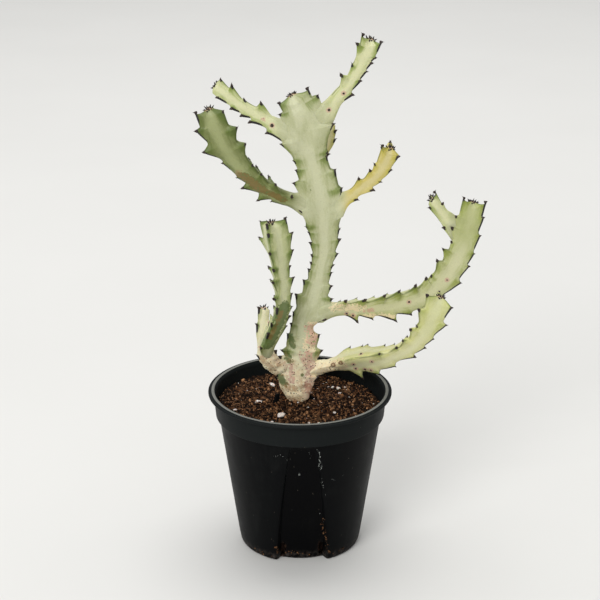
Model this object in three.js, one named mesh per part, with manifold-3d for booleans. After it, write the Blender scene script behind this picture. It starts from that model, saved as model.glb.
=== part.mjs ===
// Potted three-ribbed euphorbia in a round nursery pot. Millimetres, +Z up.
// The origin is the middle of the pot's flat underside; the viewer stands at -Y.
import * as THREE from 'three';
import { mergeVertices } from 'three/addons/utils/BufferGeometryUtils.js';
import Module from 'manifold-3d';

const wasm = await Module();
wasm.setup();

// Gap kept between pieces that rest in or on one another
const GAP = 0.3;

// Pot
const POT_HEIGHT = 116.5;
const BEAD_RADIUS = 65;
const BEAD_HEIGHT = 2.5;
const LIP_RADIUS = 61.4;
const COLLAR_TOP_RADIUS = 61.2;
const COLLAR_FOOT_RADIUS = 59.8;
const COLLAR_HEIGHT = 19;
const WALL_TOP_RADIUS = 57.5;
const WALL_FOOT_RADIUS = 44;
const WALL_FOOT_Z = 6;
const FOOT_RADIUS = 41.6;
const FOOT_ROUND = { out: 1.4, up: 1.2 };
const BEAD_ROUND = 0.8;
const LIP_ROUND = 1.5;
const WALL = 1.3;
const FLOOR = 2;
const COLLAR_Z = POT_HEIGHT - COLLAR_HEIGHT;
const BEAD_Z = POT_HEIGHT - BEAD_HEIGHT;

// Pushed-in wedge panels of the pot wall, the first one facing the viewer. They are deepest at
// the foot, and keep a share of that depth at their top.
const PANEL_COUNT = 3;
const PANEL_INSET = 6;
const PANEL_TOP_SHARE = 0.3;
const PANEL_TOP_ANGLE = 5;
const PANEL_FOOT_ANGLE = 24.2;
const PANEL_EDGE_ANGLE = 1.6;
const PANEL_FACING = -87.8;
const WALL_COLUMNS = 8;
// The panels fade out over this width of the floor and this height below the collar
const PANEL_FADE_RADIUS = FOOT_RADIUS - 9;
const PANEL_FADE_HEIGHT = 3;

// Openings in the pot: round drainage holes and slits at the panels' lower corners
const DRAIN_COUNT = 6;
const DRAIN_RADIUS = 4;
const DRAIN_RING = 27;
const SLIT_WIDTH = 3;
const SLIT_DEPTH = 16;
const SLIT_HEIGHT = 11;
const SLIT_Z = 7.5;
const SLIT_INSIDE_EDGE = 3;

// Potting mix, a little lower round the trunk and towards +X
const SOIL_Z = 103;
const SOIL_DIP = 2;
const SOIL_TILT = 0.035;
const SOIL_ROUGHNESS = 1.4;
const SOIL_RINGS = 5;

// Angles round a stem, from the back rib, of one rib's flank, crest, flank and the next valley
const FLANK_ANGLE = 24;
const VALLEY_ANGLE = 60;
const FLANK_SHARE = 0.42;
const FLANK_TOOTH_SHARE = 0.3;

// One tooth: where it starts, swells and peaks along its pitch, how high, and how far it leans on
const TOOTH_ROWS = [
  { phase: 0, height: 0, lean: 0 },
  { phase: 0.42, height: 0.3, lean: 0.04 },
  { phase: 0.7, height: 1, lean: 0.2 },
];
// The teeth of the three ribs start a part of a pitch apart, alternate, and meet again at the tip
const RIB_OFFSETS = [0.3, 0, 0.6];
// The last tooth of each rib stands less far out and leans past the tip
const LAST_TOOTH = { height: 0.4, lean: 2.4 };

// Spine on a tooth and rudimentary leaf on a tip
const SPINE = { length: 2.2, radius: 0.6, sunk: 1.2, sides: 3, every: 2 };
const LEAF = { length: 4.5, radius: 0.8, sunk: 2, sides: 3, count: 3 };

// Stems. A row is x, y, z, core radius, rib radius, or core and back, left and right rib radii.
// teeth is the number on each rib, tooth their height at foot and tip, bare the toothless length
// at the foot, turn how far the ribs are turned round the stem at foot and tip, in degrees.
const STEMS = {
  trunk: {
    color: 0xa9b58a,
    teeth: 21, tooth: [3, 3.4], bare: 20, turn: [0, 0],
    rows: [
      [-3, 13.5, 92, 3, 3.8, 3.8, 3.8],
      [-2.8, 13.5, 100, 4.6, 6, 6, 6],
      [-2.6, 14, 105, 7.2, 9.4, 9, 10.2],
      [-2.4, 15.5, 111.5, 8.8, 11.5, 13.8, 12.4],
      [-1.2, 17, 121, 9, 12, 15.6, 12.8],
      [0.8, 17, 133, 8.8, 11.8, 14.2, 12.2],
      [1.6, 17, 146, 8.2, 11.5, 12.4, 11.5],
      [2.4, 17, 156.5, 6.8, 10.5, 10.2, 8],
      [3.8, 17, 163, 6.9, 10.3, 10.4, 8.8],
      [7.8, 18, 172.5, 7.6, 10.5, 11.5, 12.5],
      [13.4, 18, 195, 6, 8.2, 8.4, 8.4],
      [16.8, 18, 217, 6, 9, 9.4, 9.6],
      [15.9, 17, 239, 7.6, 12, 14.5, 13.5],
      [14.5, 17, 250, 8.6, 13.5, 17, 15.5],
      [13.1, 16, 261, 8.6, 13, 16, 15.5],
      [8.2, 15, 279, 7.8, 11.5, 12.5, 12],
      [4.1, 14, 297, 8.8, 13, 16.5, 17],
      [0, 13, 313, 9.4, 13.5, 14, 17],
      [-3.6, 12, 321, 6.8, 10.5, 10.5, 13.5],
    ],
  },
  upper_right_branch: {
    from: 'trunk',
    color: 0xb0be8a,
    teeth: 6, tooth: [3, 3.4], bare: 12, turn: [15, 0],
    rows: [
      [6, 10, 299.7, 4, 5.5],
      [17.5, 6, 314, 4.2, 6],
      [23.5, 4.5, 323.8, 3.8, 5.4],
      [33, 2.5, 336, 3.6, 5],
      [39.6, 0, 348, 3.8, 5.8],
      [44, -3, 358.5, 4.4, 7],
      [45.6, -4.6, 363.5, 4.2, 7.2],
    ],
  },
  upper_left_branch: {
    from: 'trunk',
    color: 0xb0be8a,
    teeth: 4, tooth: [3.4, 4], bare: 14, turn: [0, 0],
    rows: [
      [-1, 11, 294.7, 4, 5.5],
      [-11.5, 8.5, 301.1, 4, 5.6],
      [-25.7, 11, 310.8, 3.6, 5.1],
      [-37.3, 14, 316.3, 3.4, 5],
      [-47.4, 17, 323, 3.5, 5.4],
      [-55.3, 19, 329.1, 3.6, 6],
    ],
  },
  large_left_branch: {
    from: 'trunk',
    color: 0x93a574,
    teeth: 7, tooth: [3, 6], bare: 16, turn: [-30, 0],
    rows: [
      [8, 13, 246.4, 4, 5, 5, 5],
      [-1, 10.5, 250.4, 4, 5.1, 4.7, 5.1],
      [-13.7, 7, 256.2, 4.7, 6.4, 5.2, 6.2],
      [-25.8, 2, 265.5, 5.2, 7.6, 5.8, 7.4],
      [-36, -4, 277, 6, 8.8, 6.8, 8.6],
      [-44.3, -9, 289.5, 6.6, 9.8, 8.4, 9.8],
      [-51, -14, 301, 7, 10.6, 10.2, 10.6],
      [-56.4, -18, 313.5, 6.6, 10.4, 10.4, 10.4],
      [-58.6, -20, 320, 5, 9, 9, 9],
    ],
  },
  yellow_right_branch: {
    from: 'trunk',
    color: 0xdcc973,
    teeth: 5, tooth: [2.2, 2.6], bare: 12, turn: [0, 0],
    rows: [
      [20, 11, 243.7, 2.5, 3.4],
      [28.9, 9.8, 250.3, 2.5, 3.4],
      [38.9, 6.8, 260.4, 3, 4.3],
      [47.5, 4, 268, 3.4, 5],
      [54, 1, 276, 3.7, 5.6],
      [59, -3, 287.5, 4.2, 6.8],
      [59.9, -4.6, 291, 4, 6.6],
    ],
  },
  yellow_back_shoot: {
    from: 'trunk',
    color: 0xe0d496,
    teeth: 3, tooth: [2, 2.2], bare: 10, turn: [0, 0],
    rows: [
      [9, 19, 270, 2.4, 3],
      [15.2, 30, 279, 2.6, 3.6],
      [19.4, 37, 287.5, 3, 4.4],
      [20.8, 41, 297, 2.8, 4.2],
    ],
  },
  lower_left_stem: {
    from: 'trunk',
    color: 0xc3bd97,
    teeth: 4, tooth: [2, 2.4], bare: 18, turn: [0, 0],
    rows: [
      [-4, 16, 121, 5, 7],
      [-12.5, 12, 127.5, 4.8, 6.6],
      [-19.5, 9, 132.5, 4.8, 6.6],
      [-23.6, 7, 141, 4.6, 6.6],
      [-25.5, 6, 151, 4, 5.4],
      [-26, 6, 162, 3.4, 4.6],
      [-25, 8, 173, 2.8, 4.2],
    ],
  },
  lower_left_shoot: {
    from: 'lower_left_stem',
    color: 0x94a376,
    teeth: 8, tooth: [3, 4], bare: 10, turn: [28, 40],
    rows: [
      [-25, 5, 142, 3.6, 4.6],
      [-22.4, -1, 151.5, 4.2, 5.6],
      [-17.4, -4, 163.5, 4.2, 6],
      [-13.2, -6, 177.5, 4.2, 6.2],
      [-13.1, -6, 192.5, 4.3, 6.4],
      [-14.4, -7, 207.5, 4.6, 7],
      [-16.2, -8, 222, 5.2, 11, 8.6, 10],
      [-18, -9, 233, 5.2, 12, 8.4, 10.6],
      [-19, -10, 239, 4.4, 11, 7.4, 9.5],
    ],
  },
  lower_right_branch: {
    from: 'trunk',
    color: 0xb7c07f,
    teeth: 11, tooth: [3.4, 4], bare: 20, turn: [50, 0],
    rows: [
      [3, 16, 120, 5, 6.6],
      [12.9, 12, 126.7, 3.8, 5],
      [24, 9.5, 130.4, 4, 5.6],
      [34, 7.5, 134.4, 5.2, 8.8],
      [45, 4.5, 137.2, 5.8, 10],
      [56, 1, 139.8, 5.4, 9.2],
      [67, -3, 145, 4.6, 6.6],
      [78, -7, 153.5, 5, 7.4],
      [86.5, -11, 166.5, 5.4, 8.4],
      [91.4, -14, 179, 6, 9.4],
      [95, -15.6, 188, 5, 8.6],
    ],
  },
  middle_right_branch: {
    from: 'trunk',
    color: 0xb4c082,
    teeth: 12, tooth: [2.6, 3.6], bare: 16, turn: [20, 0],
    rows: [
      [6, 15, 165.1, 3.4, 4.4],
      [15.6, 13, 169.1, 3.4, 4.4],
      [32, 15.5, 171.8, 4, 5.8],
      [49.6, 18, 171.7, 4.8, 7.2],
      [67.4, 22, 173.5, 5.8, 9],
      [85.2, 24, 178, 6.2, 9.4],
      [99, 25, 189, 6.4, 10],
      [108, 26, 202, 6.4, 10.2],
      [113.5, 26, 214.5, 6.2, 9.8],
      [116.5, 26, 227, 6, 9.6],
      [118.6, 25, 237, 5.6, 9.4],
      [119.8, 25, 243, 4.6, 8.5],
    ],
  },
  middle_right_shoot: {
    from: 'middle_right_branch',
    color: 0xa9ba78,
    teeth: 2, tooth: [1.8, 2], bare: 12, turn: [0, 0],
    rows: [
      [112, 26, 222, 3.4, 4.6],
      [105, 24, 231, 3.4, 5.4],
      [98.5, 22, 239.5, 3.2, 5],
      [94.5, 20, 245.5, 3.2, 4.8],
      [92, 19, 249.5, 2.8, 4.6],
    ],
  },
};

const DEGREES = Math.PI / 180;
const BACK = new THREE.Vector3(0, 1, 0);

// Repeatable random numbers from 0 to 1
function seeded(seed) {
  let state = seed;
  return () => {
    state = (state * 1664525 + 1013904223) % 4294967296;
    return state / 4294967296;
  };
}

// Closed geometry from rings of equal length, with a point below the first and past the last.
// From the ring numbered mirrored on, the four-sided faces are split along their other diagonal.
function ringSolid(rings, firstPole, lastPole, mirrored = rings.length) {
  const count = rings[0].length;
  const positions = [...rings.flat(), firstPole, lastPole].flatMap((p) => [p.x, p.y, p.z]);
  const first = rings.length * count;
  const last = first + 1;
  const top = (rings.length - 1) * count;
  const index = [];
  for (let j = 0; j < count; j += 1) {
    const next = (j + 1) % count;
    index.push(first, next, j);
    index.push(last, top + j, top + next);
    for (let i = 0; i < rings.length - 1; i += 1) {
      const a = i * count + j;
      const b = i * count + next;
      if (i < mirrored) {
        index.push(a, b, b + count, a, b + count, a + count);
      } else {
        index.push(a, b, a + count, b, b + count, a + count);
      }
    }
  }
  const geometry = new THREE.BufferGeometry();
  geometry.setAttribute('position', new THREE.Float32BufferAttribute(positions, 3));
  geometry.setIndex(index);
  return geometry;
}

// Solid for joining and cutting, from any closed geometry
function toSolid(geometry) {
  const bare = geometry.clone();
  bare.deleteAttribute('normal');
  bare.deleteAttribute('uv');
  const welded = mergeVertices(bare, 1e-4);
  const mesh = new wasm.Mesh({
    numProp: 3,
    vertProperties: new Float32Array(welded.attributes.position.array),
    triVerts: new Uint32Array(welded.index.array),
  });
  return new wasm.Manifold(mesh);
}

function toGeometry(solid) {
  const { vertProperties, triVerts } = solid.getMesh();
  const geometry = new THREE.BufferGeometry();
  geometry.setAttribute('position', new THREE.BufferAttribute(new Float32Array(vertProperties), 3));
  geometry.setIndex(new THREE.BufferAttribute(new Uint32Array(triVerts), 1));
  geometry.computeVertexNormals();
  return geometry;
}

// The largest body of a cut solid, without loose scraps
function largest(solid) {
  const bodies = solid.decompose();
  return bodies.reduce((best, body) => (body.volume() > best.volume() ? body : best));
}

// Smooth run of a stem: place, core radius, three rib radii and direction at any length along it
class StemRun {
  constructor({ rows, turn }) {
    const full = rows.map((row) => (row.length > 5 ? row : [...row, row[4], row[4]]));
    const pick = (a, b, c) => full.map((row) => new THREE.Vector3(row[a], row[b], row[c]));
    const smooth = (points) => new THREE.CatmullRomCurve3(points, false, 'catmullrom', 0.5);
    this.line = smooth(pick(0, 1, 2));
    this.cores = smooth(pick(3, 3, 3));
    this.ribs = smooth(pick(4, 5, 6));
    this.line.arcLengthDivisions = 400;
    this.length = this.line.getLength();
    this.turn = turn;
  }

  at(s) {
    const along = THREE.MathUtils.clamp(s / this.length, 0, 1);
    const t = this.line.getUtoTmapping(along);
    const forward = this.line.getTangent(t);
    const back = BACK.clone().addScaledVector(forward, -BACK.dot(forward)).normalize();
    const left = new THREE.Vector3().crossVectors(forward, back);
    const turn = THREE.MathUtils.lerp(this.turn[0], this.turn[1], along) * DEGREES;
    return {
      place: this.line.getPoint(t),
      core: this.cores.getPoint(t).x,
      ribs: this.ribs.getPoint(t).toArray(),
      forward,
      outward: (angle) => back.clone().multiplyScalar(Math.cos(angle + turn))
        .addScaledVector(left, Math.sin(angle + turn)),
    };
  }

  // Point at a length along the stem, an angle round it, and a radius and lean given by rules
  point(s, angle, radiusAt, lean) {
    const here = this.at(s);
    return here.place.clone()
      .addScaledVector(here.outward(angle), radiusAt(here))
      .addScaledVector(here.forward, lean);
  }
}

// Lengths along the stem of one rib's rows, with the height and lean of the tooth at each
function ribRows(stem, length, rib) {
  const first = stem.bare + (RIB_OFFSETS[rib] * (length - stem.bare)) / stem.teeth;
  const pitch = (length - first) / stem.teeth;
  const random = seeded(17 * stem.teeth + 101 * (rib + 1) + Math.round(length));
  const rows = [{ s: 0, height: 0, lean: 0 }, { s: stem.bare / 2, height: 0, lean: 0 }];
  for (let n = 0; n < stem.teeth; n += 1) {
    const size = THREE.MathUtils.lerp(...stem.tooth, n / stem.teeth) * (0.7 + 0.6 * random());
    const shape = n === stem.teeth - 1 ? LAST_TOOTH : { height: 1, lean: 1 };
    for (const row of TOOTH_ROWS) {
      rows.push({
        s: first + (n + row.phase) * pitch,
        height: row.height * size * shape.height,
        lean: row.lean * pitch * shape.lean,
        spined: row.height === 1 && (stem.teeth - 1 - n + rib) % SPINE.every === 0,
      });
    }
  }
  rows.push({ s: length, height: 0, lean: 0 });
  return rows;
}

// The four lines of points that one rib gives each ring: flank, crest, flank and valley
function ribColumns(rib, rows, nextRows) {
  const crest = rib * 120 * DEGREES;
  const flank = (side) => ({
    angle: crest + side * FLANK_ANGLE * DEGREES,
    s: (i) => rows[i].s,
    radius: (i, here) => here.core + (here.ribs[rib] - here.core) * FLANK_SHARE
      + rows[i].height * FLANK_TOOTH_SHARE,
    lean: (i) => rows[i].lean / 2,
  });
  const top = {
    angle: crest,
    s: (i) => rows[i].s,
    radius: (i, here) => here.ribs[rib] + rows[i].height,
    lean: (i) => rows[i].lean,
  };
  const valley = {
    angle: crest + VALLEY_ANGLE * DEGREES,
    s: (i) => (rows[i].s + nextRows[i].s) / 2,
    radius: (i, here) => here.core,
    lean: () => 0,
  };
  return [flank(-1), top, flank(1), valley];
}

// Ribbed stem with its teeth, made fatter all round by grow where it cuts a neighbour
function stemBody(stem, run, grow = 0) {
  const ribs = [0, 1, 2].map((rib) => ribRows(stem, run.length, rib));
  const columns = ribs.flatMap((rows, rib) => ribColumns(rib, rows, ribs[(rib + 1) % 3]));
  const rings = ribs[0].map((_, i) => columns.map((column) => run.point(
    column.s(i),
    column.angle,
    (here) => column.radius(i, here) + grow,
    column.lean(i),
  )));
  const foot = run.at(0);
  const tip = run.at(run.length);
  const bulge = 1 + grow;
  return ringSolid(
    rings,
    foot.place.clone().addScaledVector(foot.forward, -bulge),
    tip.place.clone().addScaledVector(tip.forward, bulge),
  );
}

// Slim cone with its foot sunk into what it grows from
function thorn({ length, radius, sunk, sides }, place, direction) {
  const cone = new THREE.ConeGeometry(radius, length + sunk, sides);
  cone.translate(0, (length + sunk) / 2 - sunk, 0);
  cone.applyQuaternion(new THREE.Quaternion().setFromUnitVectors(BACK, direction));
  cone.translate(place.x, place.y, place.z);
  return cone;
}

// Spines on the points of every second tooth, but none in the foot of a shoot
function spines(stem, run, shoots) {
  const tips = [];
  for (let rib = 0; rib < 3; rib += 1) {
    const crest = rib * 120 * DEGREES;
    for (const row of ribRows(stem, run.length, rib)) {
      if (row.spined) {
        const here = run.at(row.s);
        const outward = here.outward(crest);
        const place = here.place.clone()
          .addScaledVector(outward, here.ribs[rib] + row.height)
          .addScaledVector(here.forward, row.lean);
        const direction = outward.clone().addScaledVector(here.forward, 0.7).normalize();
        tips.push({ place, direction });
      }
    }
  }
  return tips
    .filter(({ place }) => shoots.every((shoot) => isClear(shoot, place)))
    .map(({ place, direction }) => thorn(SPINE, place, direction));
}

// True where a place is well outside a stem
function isClear(run, place) {
  const steps = 24;
  for (let i = 0; i <= steps; i += 1) {
    const here = run.at((run.length * i) / steps);
    if (here.place.distanceTo(place) < Math.max(...here.ribs) + SPINE.length) {
      return false;
    }
  }
  return true;
}

// Rudimentary leaves standing round the growing tip
function tipLeaves(run) {
  const tip = run.at(run.length);
  const around = [...Array(LEAF.count).keys()].map((n) => (n / LEAF.count + 0.15) * 2 * Math.PI);
  return around.map((angle) => {
    const outward = tip.outward(angle);
    const place = tip.place.clone().addScaledVector(outward, tip.core * 0.35);
    const direction = tip.forward.clone().addScaledVector(outward, 0.5).normalize();
    return thorn(LEAF, place, direction);
  });
}

// Every stem as one solid, cut to fit against the one that it grows from
function growStems() {
  const names = Object.keys(STEMS);
  const runs = Object.fromEntries(names.map((name) => [name, new StemRun(STEMS[name])]));
  return Object.fromEntries(names.map((name) => {
    const stem = STEMS[name];
    const shoots = names.filter((other) => STEMS[other].from === name).map((other) => runs[other]);
    let solid = toSolid(stemBody(stem, runs[name]));
    for (const part of [...spines(stem, runs[name], shoots), ...tipLeaves(runs[name])]) {
      solid = solid.add(toSolid(part));
    }
    if (stem.from) {
      solid = solid.subtract(toSolid(stemBody(STEMS[stem.from], runs[stem.from], GAP)));
    }
    return [name, largest(solid)];
  }));
}

// Outer radius of the pot's plain wall at a height
function wallRadius(z) {
  const share = (z - WALL_FOOT_Z) / (COLLAR_Z - WALL_FOOT_Z);
  return THREE.MathUtils.lerp(WALL_FOOT_RADIUS, WALL_TOP_RADIUS, share);
}

// Section of the pot from the underside, up the outside, over the rim and down to the floor.
// inset says how much of the panels' depth a station has.
function potStations() {
  const wallTop = COLLAR_Z - PANEL_FADE_HEIGHT;
  return [
    { r: PANEL_FADE_RADIUS, z: 0, inset: 0 },
    { r: FOOT_RADIUS, z: 0, inset: 1 },
    { r: FOOT_RADIUS + FOOT_ROUND.out, z: FOOT_ROUND.up, inset: 1 },
    { r: WALL_FOOT_RADIUS, z: WALL_FOOT_Z, inset: 1 },
    { r: wallRadius(wallTop), z: wallTop, inset: PANEL_TOP_SHARE },
    { r: WALL_TOP_RADIUS, z: COLLAR_Z, inset: 0 },
    { r: COLLAR_FOOT_RADIUS, z: COLLAR_Z + 0.6, inset: 0 },
    { r: COLLAR_TOP_RADIUS, z: BEAD_Z, inset: 0 },
    { r: BEAD_RADIUS - BEAD_ROUND, z: BEAD_Z, inset: 0 },
    { r: BEAD_RADIUS, z: BEAD_Z + BEAD_ROUND, inset: 0 },
    { r: BEAD_RADIUS, z: POT_HEIGHT - BEAD_ROUND, inset: 0 },
    { r: BEAD_RADIUS - LIP_ROUND, z: POT_HEIGHT, inset: 0 },
    { r: LIP_RADIUS, z: POT_HEIGHT, inset: 0 },
    { r: COLLAR_TOP_RADIUS - WALL, z: POT_HEIGHT - LIP_ROUND, inset: 0 },
    ...wallInside(),
  ];
}

// Inside of the pot from the collar's foot down to the floor. behind is how far the side of a
// panel's step lies behind the outer one.
function wallInside() {
  const wallTop = COLLAR_Z - PANEL_FADE_HEIGHT - 1;
  return [
    { r: COLLAR_FOOT_RADIUS - WALL, z: COLLAR_Z + LIP_ROUND, inset: 0 },
    { r: WALL_TOP_RADIUS - WALL, z: COLLAR_Z + 0.5, inset: 0 },
    { r: wallRadius(wallTop) - WALL, z: wallTop, inset: PANEL_TOP_SHARE, behind: WALL },
    { r: WALL_FOOT_RADIUS - WALL, z: WALL_FOOT_Z, inset: 1, behind: WALL },
    { r: FOOT_RADIUS - WALL, z: FLOOR, inset: 1, behind: WALL },
    { r: PANEL_FADE_RADIUS - WALL, z: FLOOR, inset: 0 },
  ];
}

// Angles and depths across one repeat of the wall: the panel, its two edges and the plain wall.
// The panel is wider by widen on each side, in degrees.
function wallSector(z, widen) {
  const share = THREE.MathUtils.clamp(z / POT_HEIGHT, 0, 1);
  const half = THREE.MathUtils.lerp(PANEL_FOOT_ANGLE, PANEL_TOP_ANGLE, share) + widen;
  const edge = half + PANEL_EDGE_ANGLE;
  const sector = 360 / PANEL_COUNT;
  const panel = [-half, -half / 3, half / 3, half].map((angle) => ({ angle, depth: 1 }));
  const plain = [...Array(WALL_COLUMNS).keys()].map((n) => ({
    angle: edge + ((sector - 2 * edge) * n) / (WALL_COLUMNS - 1),
    depth: 0,
  }));
  return [...panel, ...plain];
}

// A ring of the pot or of the soil in it, moved inwards by clearance
function wallRing({ r, z, inset, behind = 0 }, clearance = 0) {
  const sector = wallSector(z, (behind + 2 * clearance) / r / DEGREES);
  return [...Array(PANEL_COUNT).keys()].flatMap((n) => sector.map(({ angle, depth }) => {
    const turn = (PANEL_FACING + angle + (360 * n) / PANEL_COUNT) * DEGREES;
    const radius = r - clearance - depth * inset * PANEL_INSET;
    return new THREE.Vector3(radius * Math.cos(turn), radius * Math.sin(turn), z);
  }));
}

function drainHole(n) {
  const turn = ((n + 0.5) / DRAIN_COUNT) * 2 * Math.PI;
  const hole = new THREE.CylinderGeometry(DRAIN_RADIUS, DRAIN_RADIUS, 4 * FLOOR, 12);
  hole.rotateX(Math.PI / 2);
  hole.translate(DRAIN_RING * Math.cos(turn), DRAIN_RING * Math.sin(turn), FLOOR / 2);
  return hole;
}

function cornerSlit(panel, side) {
  const facing = PANEL_FACING + (360 * panel) / PANEL_COUNT;
  const turn = (facing + side * (PANEL_FOOT_ANGLE - SLIT_INSIDE_EDGE)) * DEGREES;
  const slit = new THREE.BoxGeometry(SLIT_DEPTH, SLIT_WIDTH, SLIT_HEIGHT);
  slit.translate(WALL_FOOT_RADIUS - PANEL_INSET, 0, SLIT_Z);
  slit.rotateZ(turn);
  return slit;
}

function potSolid() {
  const stations = potStations();
  const rim = stations.findIndex(({ r }) => r === LIP_RADIUS);
  const underside = new THREE.Vector3(0, 0, 0);
  const floor = new THREE.Vector3(0, 0, FLOOR);
  const rings = stations.map((station) => wallRing(station));
  let pot = toSolid(ringSolid(rings, underside, floor, rim));
  for (let n = 0; n < DRAIN_COUNT; n += 1) {
    pot = pot.subtract(toSolid(drainHole(n)));
  }
  for (let panel = 0; panel < PANEL_COUNT; panel += 1) {
    for (const side of [-1, 1]) {
      pot = pot.subtract(toSolid(cornerSlit(panel, side)));
    }
  }
  return pot;
}

// Potting mix that fills the pot to SOIL_Z, with an uneven top and a hole for the trunk
function soilSolid(trunk) {
  const random = seeded(7);
  const side = wallInside().reverse().map((station) => {
    const z = Math.max(station.z, FLOOR + GAP);
    return wallRing({ ...station, z }, GAP);
  });
  const edge = COLLAR_FOOT_RADIUS - WALL - GAP;
  const top = [...Array(SOIL_RINGS).keys()].map((ring) => {
    const share = 1 - (ring + 0.15) / SOIL_RINGS;
    const level = SOIL_Z + SOIL_DIP * (share - 0.5);
    return wallRing({ r: edge * share, z: level, inset: 0 })
      .map((p) => p.setZ(p.z - SOIL_TILT * p.x + SOIL_ROUGHNESS * (random() - 0.5)));
  });
  const underside = new THREE.Vector3(0, 0, FLOOR + GAP);
  const middle = new THREE.Vector3(0, 0, SOIL_Z - SOIL_DIP / 2);
  return toSolid(ringSolid([...side, ...top], underside, middle)).subtract(trunk);
}

function piece(name, solid, color, roughness) {
  const material = new THREE.MeshStandardMaterial({ color, roughness, metalness: 0 });
  const mesh = new THREE.Mesh(toGeometry(solid), material);
  mesh.name = name;
  return mesh;
}

const group = new THREE.Group();
const trunkRun = new StemRun(STEMS.trunk);
const trunkCutter = toSolid(stemBody(STEMS.trunk, trunkRun, GAP));

group.add(piece('nursery_pot', potSolid(), 0x14171a, 0.45));
group.add(piece('potting_mix', largest(soilSolid(trunkCutter)), 0x46302a, 0.95));
for (const [name, solid] of Object.entries(growStems())) {
  group.add(piece(name, solid, STEMS[name].color, 0.6));
}

export default group;
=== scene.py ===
# Looks of a potted three-ribbed euphorbia in a black nursery pot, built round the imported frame
import math

import bmesh
import bpy
import numpy as np
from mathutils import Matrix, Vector
from mathutils.bvhtree import BVHTree


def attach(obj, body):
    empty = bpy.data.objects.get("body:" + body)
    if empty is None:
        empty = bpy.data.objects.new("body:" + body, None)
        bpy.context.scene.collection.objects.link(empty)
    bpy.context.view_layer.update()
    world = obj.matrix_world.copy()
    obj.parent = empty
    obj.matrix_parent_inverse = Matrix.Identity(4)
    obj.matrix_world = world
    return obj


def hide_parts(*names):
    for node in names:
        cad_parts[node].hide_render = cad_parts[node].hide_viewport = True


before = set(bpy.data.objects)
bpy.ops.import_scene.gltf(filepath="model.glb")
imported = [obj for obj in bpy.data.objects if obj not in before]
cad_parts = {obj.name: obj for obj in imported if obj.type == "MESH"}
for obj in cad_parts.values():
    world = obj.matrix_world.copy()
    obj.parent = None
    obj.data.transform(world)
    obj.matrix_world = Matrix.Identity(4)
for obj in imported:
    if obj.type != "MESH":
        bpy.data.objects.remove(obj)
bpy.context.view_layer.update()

# Shapes are worked out in millimetres and written to the meshes in metres
MM = 0.001
BODY = "root"
# Seeds of the scattered small things
SEEDS = {"chips": 21, "fibres": 22, "perlite": 23, "crumbs": 24, "traces": 25}

# The photograph's camera: place in mm, pitch below the horizon, focal length in pixels
PICTURE = 600
FOCAL_PX = 1600
SENSOR = 36
CAMERA_PLACE = np.array([0.0, -1044.0, 565.0])
CAMERA_PITCH = math.radians(20.1)
LOOK = np.array([0.0, math.cos(CAMERA_PITCH), -math.sin(CAMERA_PITCH)])
LOOK_UP = np.array([0.0, math.sin(CAMERA_PITCH), math.cos(CAMERA_PITCH)])

# Pot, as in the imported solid
POT_HEIGHT = 116.5
BEAD_RADIUS = 65
BEAD_HEIGHT = 2.5
LIP_RADIUS = 61.4
COLLAR_TOP_RADIUS = 61.2
COLLAR_FOOT_RADIUS = 59.8
COLLAR_Z = 97.5
WALL_TOP_RADIUS = 57.5
WALL_FOOT_RADIUS = 44
WALL_FOOT_Z = 6
FOOT_RADIUS = 41.6
FOOT_ROUND = (1.4, 1.2)
WALL = 1.3
FLOOR = 2
PANEL_COUNT = 3
PANEL_INSET = 6
PANEL_TOP_SHARE = 0.3
PANEL_TOP_ANGLE = 5
PANEL_FOOT_ANGLE = 24.2
PANEL_EDGE_ANGLE = 1.6
PANEL_FACING = -87.8
PANEL_FADE_RADIUS = FOOT_RADIUS - 9
PANEL_FADE_HEIGHT = 3
DRAIN = {"count": 6, "radius": 4, "ring": 27}
SLIT = {"width": 3, "depth": 16, "height": 11, "z": 7.5, "inside_edge": 3}
# Radii between which the rim's top ridge gets a painted highlight
RIDGE_HIGHLIGHT_RADII = (LIP_RADIUS - 0.8, LIP_RADIUS + 1.4)
# Drainage cutters: sides, and how far they stand out of the floor
CUTTER_SIDES = 32
CUTTER_PAST = 2.0
# Points across a panel, up its edges, as shares of the edge, and across the wall between panels
PANEL_POINTS = 15
EDGE_SHARES = (0.2, 0.4, 0.6, 0.8)
PLAIN_POINTS = 41
# Heights at which dust and dirt on the pot have ended and are full, and the dirt's width
DUST_HEIGHTS = (9, 1)
DIRT_HEIGHTS = (20, 8)
DIRT_WIDTH = 3
# A rounded corner: shares along it, and the most that it takes of the stretches beside it
CORNER_SHARES = (0, 0.2, 0.4, 0.6, 0.8, 1)
CORNER_MOST = 0.45
# Longest stretch of the pot's outline between two rings
OUTLINE_STEP = 3.0
# Flakes of dried water traces on the pot: their own form, in mm, then for each line of them how
# many, their mean size and the pixels of the line
TRACE = {"stray": 0.4, "sizes": (0.5, 1.5), "lumps": (0.6, 1.3), "narrow": 0.7, "height": 0.08}
TRACES = [
    (34, 0.42, (316.5, 449.5), (318.5, 452), (320, 455.5), (319, 459), (320, 463), (318.7, 467),
     (319.3, 471)),
    (12, 0.34, (320.5, 462), (322, 465.5), (321, 469)),
    (4, 0.5, (299, 472), (299.2, 476)),
    (7, 0.3, (331, 478.5), (334, 480), (336.5, 480)),
    (2, 0.3, (342.6, 475.4), (344, 475.2)),
    (16, 0.2, (321.5, 478), (323.5, 487), (326, 497)),
    (1, 0.5, (292.4, 509.8), (293.3, 510)),
    (2, 0.4, (319.6, 512.7), (320.4, 513)),
    (4, 0.36, (323.6, 519), (324.3, 526)),
    (14, 0.2, (272, 457), (280, 455), (287, 460)),
    (10, 0.2, (309, 452), (312, 460)),
]
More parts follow.
